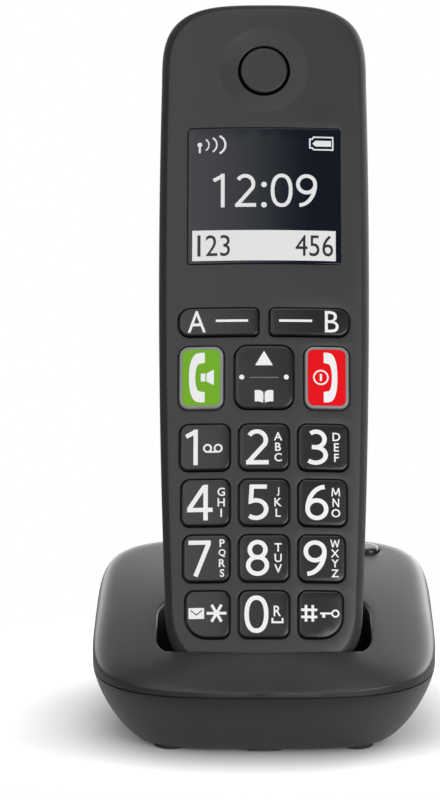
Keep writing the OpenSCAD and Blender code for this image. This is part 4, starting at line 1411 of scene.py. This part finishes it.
def flat_of(points):
    """The plan of a ring of points, about the base's middle."""
    return points[:, :2] - (0, BASE_Y)


def pin_places():
    """Where the two charging pins stand in the handset's section, as (u, w)."""
    return [box_middle(handset_points("charge_pin_" + side))[:2] for side in ("left", "right")]


PAGING_SIZE = (11 * MM, 5 * MM)


def paging_loop(grow):
    """The paging key's pill, about the middle of the top of its node."""
    points = node_points("paging_key")
    pill = flat_of(points[points[:, 2] > points[:, 2].max() - 0.3 * MM])
    return even_loop(box_middle(pill), PAGING_SIZE, 2.49 * MM, grow, spacing=1 * MM)


class PHONE_OT_base_upper(PieceOperator, bpy.types.Operator):
    """The base's upper shell: a shoulder, a sloping deck and front, and the handset's pocket"""

    bl_idname = "phone.base_upper"
    bl_label = "Base, upper shell"

    def make(self, handset, keys, base, finishes):
        wall, edge, floor = base.wall, base.pocket_edge, -base.stand_gap
        hole, hole_edge, pin_hole = keys.clearance, 0.3 * MM, 1.75 * MM

        def top(x, y):
            return upper_level(x, y, base)

        def under(x, y):
            return upper_level(x, y, base, wall)

        def skin(side, back, drop, count, power, inset):
            """Rings up to a turn of back degrees behind and less in front, crowded at the seam."""
            furthest = np.radians(back - drop * frontness(np.sin(PLAN)))
            shares = np.linspace(0, 1, count) ** power
            return side + [shoulder_loop(t * furthest, inset, base) for t in shares]

        rim, inner_rim = (raised(plan_loop(inset, base), base.seam) for inset in (0, wall))
        outer, inner = skin([rim], 84, 30, 22, 1.6, 0), skin([rim, inner_rim], 75, 37, 9, 1.5, wall)
        parts = [loft(outer), loft(inner)]

        def section(grow, depth, inset=0.0):
            loop = pocket_loop(grow, handset, base)
            return crosswise(loop, pocket_mouth(loop, base, inset) - depth)

        foot, below = pocket_loop(0, handset, base), pocket_loop(wall, handset, base)
        mouth, shell = [section(g, d) for g, d in fillet(edge, 6)], section(wall, 0, wall)
        low = crosswise(foot, floor)
        walls = [mouth[-1] + (low - mouth[-1]) * s for s in np.linspace(0, 1, 6)[1:]]
        parts += [loft(mouth + walls), loft([shell, crosswise(below, floor - wall)])]
        pins = [circle_loop(place, pin_hole, 20) for place in pin_places()]
        for level, loop in ((floor, foot), (floor - wall, below)):
            points, faces = web(loop, pins)
            parts.append((crosswise(points, level), faces))
        parts += [loft([crosswise(pin, level) for level in (floor, floor - wall)]) for pin in pins]

        parts.append(loft([raised(paging_loop(hole + g), top, d) for g, d in fillet(hole_edge)]
                          + [raised(paging_loop(hole), under)]))
        for rings, holes, step, level in (
                (outer, [flat_of(mouth[0]), paging_loop(hole + hole_edge)], 1.6 * MM, top),
                (inner, [flat_of(shell), paging_loop(hole)], 3 * MM, under)):
            parts.append(spread(web(flat_of(rings[-1]), holes, step), level))
        add_piece("base_upper", parts, "base", cover_plastic(), "cover_plastic",
                  ["base_upper_shell"])


class PHONE_OT_base_lower(PieceOperator, bpy.types.Operator):
    """The base's lower shell: a bowl with a groove at the seam, recesses for its feet, bores for
    its screws and two openings at the back, and the small tab under its front"""

    bl_idname = "phone.base_lower"
    bl_label = "Base, lower shell"

    def make(self, handset, keys, base, finishes):
        wall, bottom = base.wall, base.floor_gap
        seam, groove_low = base.seam - 0.02 * MM, base.seam - 0.75 * MM
        groove_in, lip = 1.2 * MM, 0.12 * MM
        front = frontness(np.sin(PLAN))

        def bowl_ring(turn, inset):
            draw = base.bowl + (base.front_bowl - base.bowl) * front - inset / 2
            drawn = draw * (1 - max(0, math.cos(turn)) ** (2 / base.bowl_power))
            drop = math.sin(turn) ** (2 / base.bowl_power)
            level = base.seam - (base.seam - bottom - inset) * drop
            return raised(plan_loop(inset + drawn, base), level)

        outer = [bowl_ring(t, 0) for t in np.linspace(0.045, 1, 22) * QUARTER]
        inner = [bowl_ring(t, wall) for t in np.linspace(0.02, 1, 10) * QUARTER]
        rim = [raised(plan_loop(inset, base), z) for inset, z in (
            (wall, seam), (groove_in, seam), (groove_in, groove_low), (lip, groove_low))]
        parts = [loft(rim + outer), loft([rim[0]] + inner)]
        parts += [spread(web(flat_of(rings[-1]), step=4 * MM), z)
                  for rings, z in ((outer, bottom), (inner, bottom + wall))]
        piece = add_piece("base_lower", parts, "base", cover_plastic(), "cover_plastic",
                          ["base_lower_shell"])

        room, through = 0.2 * MM, 20 * MM
        for node in ("phone_socket", "power_socket"):
            low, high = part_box(node)
            low, high = np.array(low) - room, np.array(high) + room
            high[1] += through
            cut_out(piece, box_part(low, high, 0.15 * MM))
        ends = (bottom - 1 * MM, bottom + wall - 0.2 * MM)
        for node, radius in (("base_feet", 4.1 * MM), ("base_screws", 2.3 * MM)):
            for place in four_places(flat_of(node_points(node))):
                loop = circle_loop(place, radius, 40)
                cut_out(piece, [loft([raised(loop, z) for z in ends])]
                        + [spread(web(loop), z) for z in ends])
        tab_low = np.array([-4, -28.6, 0.5]) * MM + (0, BASE_Y, 0)
        tab = box_part(tab_low, tab_low + np.array([8, 7, 1.2]) * MM, 0.3 * MM)
        add_piece("front_tab", tab, "base", cover_plastic(), "cover_plastic")


def cut_out(piece, parts):
    """Cuts the closed form of the parts out of a piece."""
    cutter = bpy.data.objects.new("cutter", bpy.data.meshes.new("cutter"))
    points, faces, _ = joined(parts)
    cutter.data.from_pydata(points.tolist(), [], faces)
    build = bmesh.new()
    build.from_mesh(cutter.data)
    bmesh.ops.remove_doubles(build, verts=build.verts, dist=MERGE)
    bmesh.ops.recalc_face_normals(build, faces=build.faces)
    build.to_mesh(cutter.data)
    build.free()
    bpy.context.scene.collection.objects.link(cutter)
    modifier = piece.modifiers.new("cut", "BOOLEAN")
    modifier.object, modifier.operation, modifier.solver = cutter, "DIFFERENCE", "EXACT"
    graph = bpy.context.evaluated_depsgraph_get()
    mesh = bpy.data.meshes.new_from_object(piece.evaluated_get(graph))
    piece.modifiers.remove(modifier)
    old, piece.data = piece.data, mesh
    bpy.data.meshes.remove(old)
    bpy.data.meshes.remove(cutter.data)


class PHONE_OT_fittings(PieceOperator, bpy.types.Operator):
    """The base's small pieces: the paging key, the charging pins, the feet and the sockets'
    wires"""

    bl_idname = "phone.fittings"
    bl_label = "Base fittings"

    def make(self, handset, keys, base, finishes):
        self.paging_button(base)
        self.charging_pins(base)
        self.feet()
        self.socket_wires()

    def paging_button(self, base):
        """A pill that follows the deck, over a flange and a stalk down to the switch."""
        edge, rise, wide = 0.45 * MM, 0.9 * MM, 1 * MM
        points = node_points("paging_key")
        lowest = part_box("paging_key")[0][2]
        stem = box_middle(flat_of(points[points[:, 2] < lowest + 0.1 * MM]))
        deck = deck_level(*box_middle(flat_of(points)), base)
        flange_low, flange_high = deck - base.wall - np.array([2.6, 1.0]) * MM
        stalk = circle_loop(stem, 0.8 * MM, 24)

        def top(x, y):
            return upper_level(x, y, base) + rise

        rings = [raised(paging_loop(-g), top, d) for g, d in fillet(edge)]
        rings += [raised(paging_loop(grow), z) for grow, z in (
            (0, flange_high), (wide, flange_high), (wide, flange_low))]
        parts = [loft(rings), loft([raised(stalk, z) for z in (flange_low, lowest)]),
                 spread(web(paging_loop(-edge), step=1 * MM), top),
                 spread(web(paging_loop(wide), [stalk]), flange_low), spread(web(stalk), lowest)]
        add_piece("paging_button", parts, "paging_key", key_plastic(), "key_plastic",
                  ["paging_key"])

    def charging_pins(self, base):
        """Round pins with a shallow dome, and a collar that holds them under the pocket's floor."""
        radius, dome_height, collar_height = 1.5 * MM, 0.7 * MM, 0.8 * MM
        seat = -base.stand_gap - base.wall - 0.15 * MM
        for side in ("left", "right"):
            name = "charge_pin_" + side
            low, high = handset_box(name)
            collar, middle = (high[0] - low[0]) / 2, (low + high) / 2
            dome = [(radius * math.sin(t), high[2] - dome_height * (1 - math.cos(t)))
                    for t in np.linspace(0, QUARTER, 9)]
            turned, faces = lathe(dome + [
                (radius, seat), (collar, seat), (collar, seat - collar_height),
                (radius, seat - collar_height), (radius, low[2]), (0, low[2])], 36)
            place = crosswise(turned[:, :2] + middle[:2], turned[:, 2])
            add_piece("pin_" + side, [(place, faces)], name, gold(), "tin", [name])

    def feet(self):
        """Round pads with a raised rim, turned from a profile."""
        radius, top = 4 * MM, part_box("base_feet")[1][2]
        rim = [(radius - inset * MM, height * MM) for inset, height in (
            (1.2, 0.15), (0.9, 0), (0.5, 0), (0.15, 0.12), (0, 0.45))]
        turned, faces = lathe([(0, 0.15 * MM), *rim, (radius, top), (0, top)], 40)
        parts = [(turned + (x, y + BASE_Y, 0), faces)
                 for x, y in four_places(flat_of(node_points("base_feet")))]
        add_piece("foot_pads", parts, "base", rubber(), "rubber", ["base_feet"])

    def socket_wires(self):
        """Four sprung wires in each socket: flat bars that run in from the mouth and curl at the
        end."""
        pitch, half, thick = 1.02 * MM, 0.2 * MM, 0.25 * MM
        section = ((-half, 0), (half, 0), (half, thick), (-half, thick))
        wires = []
        for node in ("phone_socket", "power_socket"):
            low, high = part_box(node)
            line = [(high[1] - y * MM, high[2] - z * MM) for y, z in (
                (12, 1.5), (4, 2.1), (2.4, 2.5), (2.1, 2.2))]
            for i in range(-2, 2):
                x = (low[0] + high[0]) / 2 + (i + 0.5) * pitch
                rings = np.array([[(x + a, y, z + b) for a, b in section] for y, z in line])
                wires += [loft(rings), cap(rings[0], 1), cap(rings[-1], 1)]
        add_piece("socket_wires", wires, "base", gold(), "tin")


SCREW_TURNS = round_turns(72)
SCREW_DOME = 0.12


def screw_rings(points):
    """A level ring of the screw for each (radius, height)."""
    return [np.stack([r * np.cos(SCREW_TURNS), r * np.sin(SCREW_TURNS), np.full(72, h)], 1)
            for r, h in points]


def screw_head(radius, deep, rows=18):
    """A screw head's top as (x, y, height): a shallow dome with a cross cut into it. The cross is
    where either |x| or |y| is small and the other is under two thirds of the radius; its walls
    slope."""
    half_arm, arm_slope, reach, reach_slope = np.array([0.2, 0.09, 0.62, 0.1]) * radius
    rings = []
    for r in np.linspace(0, 1, rows) * radius:
        x, y = r * np.cos(SCREW_TURNS), r * np.sin(SCREW_TURNS)
        near, far = np.minimum(np.abs(x), np.abs(y)), np.maximum(np.abs(x), np.abs(y))
        arm = np.clip((half_arm - near) / arm_slope, 0, 1) * np.clip((reach - far) / reach_slope, 0,
                                                                     1)
        height = SCREW_DOME * radius * (1 - (r / radius) ** 2) - deep * arm
        rings.append(np.stack([x, y, height], 1))
    return rings


class PHONE_OT_screws(PieceOperator, bpy.types.Operator):
    """The cross-headed screws of the handset and of the base"""

    bl_idname = "phone.screws"
    bl_label = "Screws"

    def make(self, handset, keys, base, finishes):
        head, shank, tall = 2.1 * MM, 1.1 * MM, 1.6 * MM
        dome = SCREW_DOME * head

        def body(length):
            lower = [(head, -tall), (shank, -tall), (shank, -length), (0, -length)]
            return loft(screw_head(head, 0.8 * MM) + screw_rings(lower))

        low, high = handset_box("handset_screws")
        points, faces = body(high[1] - low[1] - dome)
        points = points + (0, 0, high[1] - dome)
        parts = [stood((points, faces), place)
                 for place in four_places(handset_points("handset_screws")[:, [0, 2]])]
        add_piece("cover_screws", parts, "handset", steel(), "tin", ["handset_screws"],
                  weld=0.0004 * MM)
        low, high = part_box("base_screws")
        points, faces = body(high[2] - low[2] - dome)
        parts = [(points * (1, 1, -1) + (x, y + BASE_Y, low[2] + dome), faces)
                 for x, y in four_places(flat_of(node_points("base_screws")))]
        add_piece("bottom_screws", parts, "base", steel(), "tin", ["base_screws"],
                  weld=0.0004 * MM)


def sleeve_group():
    """A cell's printed sleeve: bands along the handset, with a pale one round the upper end."""
    group, given, out = new_group(
        "cell_sleeve", [("Colour", COLOUR, (0.05, 0.1, 0.3, 1))],
        [("Colour", COLOUR), ("Normal", VECTOR)])
    place = add_node(group, "TexCoord").outputs["Object"]
    along = add_node(group, "VectorMath", {1: tuple(ALONG)}, operation="DOT_PRODUCT")
    low, high = handset_box("battery_left")
    share = add_node(group, "MapRange", {"From Min": FOOT + low[2], "From Max": FOOT + high[2]})
    bands = add_node(group, "ValToRGB")
    bands.color_ramp.interpolation = "CONSTANT"
    for position, value in ((0.0, 0.0), (0.03, 0.35), (0.26, 1.0), (0.3, 0.35), (0.95, 0.9)):
        stop = (bands.color_ramp.elements.new(position) if position
                else bands.color_ramp.elements[0])
        stop.color = (value, value, value, 1)
    bands.color_ramp.elements[-1].color = (0.9, 0.9, 0.9, 1)
    mix = add_node(group, "Mix", data_type="RGBA")
    mix.inputs[7].default_value = (0.7, 0.7, 0.72, 1)
    scuff = add_node(group, "TexNoise", {"Scale": 900})
    bump = add_node(group, "Bump", {"Distance": 0.01 * MM})
    link_all(group, [
        (place, along.inputs[0]), (along.outputs["Value"], share.inputs["Value"]),
        (share.outputs[0], bands.inputs[0]), (bands.outputs[0], mix.inputs[0]),
        (given.outputs["Colour"], mix.inputs[6]), (place, scuff.inputs["Vector"]),
        (scuff.outputs[0], bump.inputs["Height"]), (mix.outputs[2], out.inputs["Colour"]),
        (bump.outputs[0], out.inputs["Normal"])])
    return group


class PHONE_OT_inner_pieces(PieceOperator, bpy.types.Operator):
    """Materials for the frame's own meshes that stay: boards, cells, speakers and sockets"""

    bl_idname = "phone.inner_pieces"
    bl_label = "Inner pieces"

    def make(self, handset, keys, base, finishes):
        board = moulded("green_board", (0.012, 0.09, 0.035), 0.4, Grain=1400, Depth=0.25,
                        Coat_Weight=0.3)
        tin = metal("tinned_sheet", (0.7, 0.7, 0.71), 0.34)
        sleeve = finish("cell_sleeve", sleeve_group, {"Colour": (0.03, 0.09, 0.28)}, Roughness=0.33)
        mat = moulded("grey_silicone", (0.2, 0.2, 0.21), 0.7, Grain=1200, Depth=0.6)
        panel = moulded("display_panel", (0.2, 0.24, 0.2), 0.2, Depth=0.0)
        cone = moulded("speaker_body", (0.02, 0.02, 0.02), 0.55)
        socket = moulded("black_socket", (0.016, 0.016, 0.017), 0.42, Depth=0.3)
        for material, nodes in (
                (panel, ["display_module"]), (mat, ["keypad_mat"]), (steel(), ["battery_contacts"]),
                (cone, ["earpiece_speaker", "ringer_speaker", "paging_switch"]),
                (tin, ["microphone", "radio_shield"]), (board, ["main_board", "base_board"]),
                (sleeve, ["battery_left", "battery_right"]), (gold(), ["handset_charge_pads"]),
                (socket, ["phone_socket", "power_socket"])):
            for node in nodes:
                materials = frame["nodes"][node].data.materials
                materials.clear()
                materials.append(material)


def sum_node(tree, operation, *values):
    """A Math node of numbers and sockets, as its output."""
    node = add_node(tree, "Math", operation=operation)
    for socket, value in zip(node.inputs, values):
        if isinstance(value, (int, float)):
            socket.default_value = value
        else:
            tree.links.new(value, socket)
    return node.outputs[0]


def ramp(tree, value, start, end, low=0.0, high=1.0, kind="SMOOTHSTEP"):
    """A Map Range node from start..end to low..high, as its output."""
    node = add_node(tree, "MapRange", {"From Min": start, "From Max": end, "To Min": low,
                                       "To Max": high}, interpolation_type=kind)
    tree.links.new(value, node.inputs["Value"])
    return node.outputs[0]


WHITE = (1, 1, 1, 1)


def pale_floor(colour):
    """The floor: a diffuse with a painted shadow round the base added to its real one. Its glow
    is nil near the base and grows with the distance, and then it blends into even white. In front
    the distance counts more than beside and behind, so the painted shadow is shorter there. To
    other rays than the camera's the floor is duller."""
    # The painted shadow round the base: it is centred a little in front of the base's middle and is
    # shorter in front, and the floor's glow is nil within the first distance and full at the second.
    middle_back, front_pull, dull = 21.5 * MM, 2.35, 0.07
    shadow_paint_from, shadow_paint_to, shadow_paint_lift = 34 * MM, 80 * MM, 0.6
    white_from, white_to = 65 * MM, 115 * MM
    material = bpy.data.materials.new("pale_floor")
    material.use_nodes = True
    tree = material.node_tree
    shader = tree.nodes["Principled BSDF"]
    for label, value in (("Base Color", (*colour, 1)), ("Roughness", 0.9),
                         ("Specular IOR Level", 0.0), ("Emission Color", WHITE)):
        shader.inputs[label].default_value = value
    place, split = add_node(tree, "TexCoord"), add_node(tree, "SeparateXYZ")
    tree.links.new(place.outputs["Object"], split.inputs[0])
    behind = sum_node(tree, "ADD", split.outputs["Y"], middle_back)
    forth = sum_node(tree, "MAXIMUM", behind, sum_node(tree, "MULTIPLY", behind, -front_pull))
    across = sum_node(tree, "POWER", split.outputs["X"], 2.0)
    squares = sum_node(tree, "ADD", across, sum_node(tree, "POWER", forth, 2.0))
    away = sum_node(tree, "SQRT", squares)
    path = add_node(tree, "LightPath")
    seen = sum_node(tree, "MULTIPLY_ADD", path.outputs["Is Camera Ray"], 1 - dull, dull)
    # Painted shadow: the floor's glow fades out towards the base.
    glow = ramp(tree, away, shadow_paint_from, shadow_paint_to, 0.0, shadow_paint_lift, "LINEAR")
    tree.links.new(sum_node(tree, "MULTIPLY", glow, seen), shader.inputs["Emission Strength"])
    white = add_node(tree, "Emission", {"Color": WHITE})
    mix = add_node(tree, "MixShader")
    link_all(tree, [
        (seen, white.inputs["Strength"]), (ramp(tree, away, white_from, white_to), mix.inputs[0]),
        (shader.outputs[0], mix.inputs[1]), (white.outputs[0], mix.inputs[2]),
        (mix.outputs[0], tree.nodes["Material Output"].inputs["Surface"])])
    return material


def soft_world(ambient, lobes):
    """Surroundings that are white to the camera, and to the object an even glow with broad
    bright patches. Each patch is (direction, cosine where it starts, cosine where it is full,
    strength)."""
    world = bpy.data.worlds.new("surroundings")
    world.use_nodes = True
    tree = world.node_tree
    seen = tree.nodes["Background"]
    seen.inputs["Color"].default_value = WHITE
    place = add_node(tree, "TexCoord")
    total = add_node(tree, "Value").outputs[0]
    total.default_value = ambient
    for direction, start, full, strength in lobes:
        dot = add_node(tree, "VectorMath", {1: Vector(direction).normalized()},
                       operation="DOT_PRODUCT")
        tree.links.new(place.outputs["Generated"], dot.inputs[0])
        patch = ramp(tree, dot.outputs["Value"], start, full, 0.0, strength)
        total = sum_node(tree, "ADD", total, patch)
    glow = add_node(tree, "Background", {"Color": WHITE})
    path = add_node(tree, "LightPath")
    mix = add_node(tree, "MixShader")
    link_all(tree, [
        (total, glow.inputs["Strength"]), (path.outputs["Is Camera Ray"], mix.inputs[0]),
        (glow.outputs[0], mix.inputs[1]), (seen.outputs[0], mix.inputs[2]),
        (mix.outputs[0], tree.nodes["World Output"].inputs[0])])
    return world


class PHONE_OT_stage(PieceOperator, bpy.types.Operator):
    """The pale floor, the white surroundings, the soft lights and the camera"""

    bl_idname = "phone.stage"
    bl_label = "Floor, lights and camera"

    def make(self, handset, keys, base, finishes):
        scene = bpy.context.scene
        scene.world = soft_world(0.05, [
            ((-0.45, -0.75, 0.48), 0.8, 1.0, 1.45), ((-0.56, 0.82, 0.14), 0.86, 1.0, 3.3),
            ((0.02, 0.99, 0.1), 0.86, 1.0, 3.6), ((0.6, 0.76, 0.22), 0.82, 1.0, 4.4),
            ((0, -0.15, 1), 0.84, 0.98, 1.6)])
        stage = [self.floor(finishes.floor),
                 self.light("right_strip", (0.75, 0.45, 0.25), (0.1, 0.7), 2.0),
                 self.light("front_fill", (0.8, -1.3, 0.3), (1.1, 0.8), 18.5), self.camera()]
        for piece in stage:
            scene.collection.objects.link(piece)
        scene.camera = stage[-1]
        scene.view_settings.view_transform = "Standard"

    def floor(self, colour, half=6):
        """A square floor at the base's feet."""
        mesh = bpy.data.meshes.new("floor")
        corners = [(-half, -half, 0), (half, -half, 0), (half, half, 0), (-half, half, 0)]
        mesh.from_pydata(corners, [], [(0, 1, 2, 3)])
        mesh.materials.append(pale_floor(colour))
        return bpy.data.objects.new("floor", mesh)

    def light(self, name, place, size, power):
        """A rectangular light that faces the object's middle."""
        target = Vector((0, 0, 0.09))
        data = bpy.data.lights.new(name, "AREA")
        data.shape, data.size, data.size_y, data.energy = "RECTANGLE", *size, power
        light = bpy.data.objects.new(name, data)
        light.location = place
        light.rotation_euler = (target - light.location).to_track_quat("-Z", "Y").to_euler()
        return light

    def camera(self):
        """A long lens in front, a little above the object and tilted down by 12 degrees."""
        tilt = 12
        data = bpy.data.cameras.new("camera")
        data.sensor_width, data.lens, data.shift_x = 36, 143.2, -0.055
        camera = bpy.data.objects.new("camera", data)
        camera.location = (0, -0.74479, 0.2345)
        camera.rotation_euler = (math.radians(90 - tilt), 0, 0)
        return camera


PIECES = (PHONE_OT_front_cover, PHONE_OT_rear_cover, PHONE_OT_battery_door, PHONE_OT_window,
          PHONE_OT_screen,
          PHONE_OT_earpiece, PHONE_OT_digit_keys, PHONE_OT_function_keys, PHONE_OT_call_keys,
          PHONE_OT_base_upper, PHONE_OT_base_lower, PHONE_OT_fittings, PHONE_OT_screws,
          PHONE_OT_inner_pieces, PHONE_OT_stage)


class PHONE_PT_panel(bpy.types.Panel):
    """Lists the operators and the settings they read"""

    bl_idname = "PHONE_PT_panel"
    bl_label = "Cordless telephone"
    bl_space_type = "VIEW_3D"
    bl_region_type = "UI"
    bl_category = "Phone"

    def draw(self, context):
        for piece in PIECES:
            self.layout.operator(piece.bl_idname)
        for group in settings():
            box = self.layout.box()
            for label in type(group).__annotations__:
                box.prop(group, label)


GROUPS = {"phone_handset": HandsetSettings, "phone_keys": KeySettings, "phone_base": BaseSettings,
          "phone_finish": FinishSettings}


def register():
    for entry in (*GROUPS.values(), *PIECES, PHONE_PT_panel):
        bpy.utils.register_class(entry)
    for label, group in GROUPS.items():
        setattr(bpy.types.Scene, label, PointerProperty(type=group))


def unregister():
    for label in GROUPS:
        delattr(bpy.types.Scene, label)
    for entry in (PHONE_PT_panel, *PIECES[::-1], *GROUPS.values()):
        bpy.utils.unregister_class(entry)


def main():
    register()
    for piece in PIECES:
        getattr(bpy.ops.phone, piece.bl_idname.split(".")[1])()


if __name__ == "__main__":
    main()
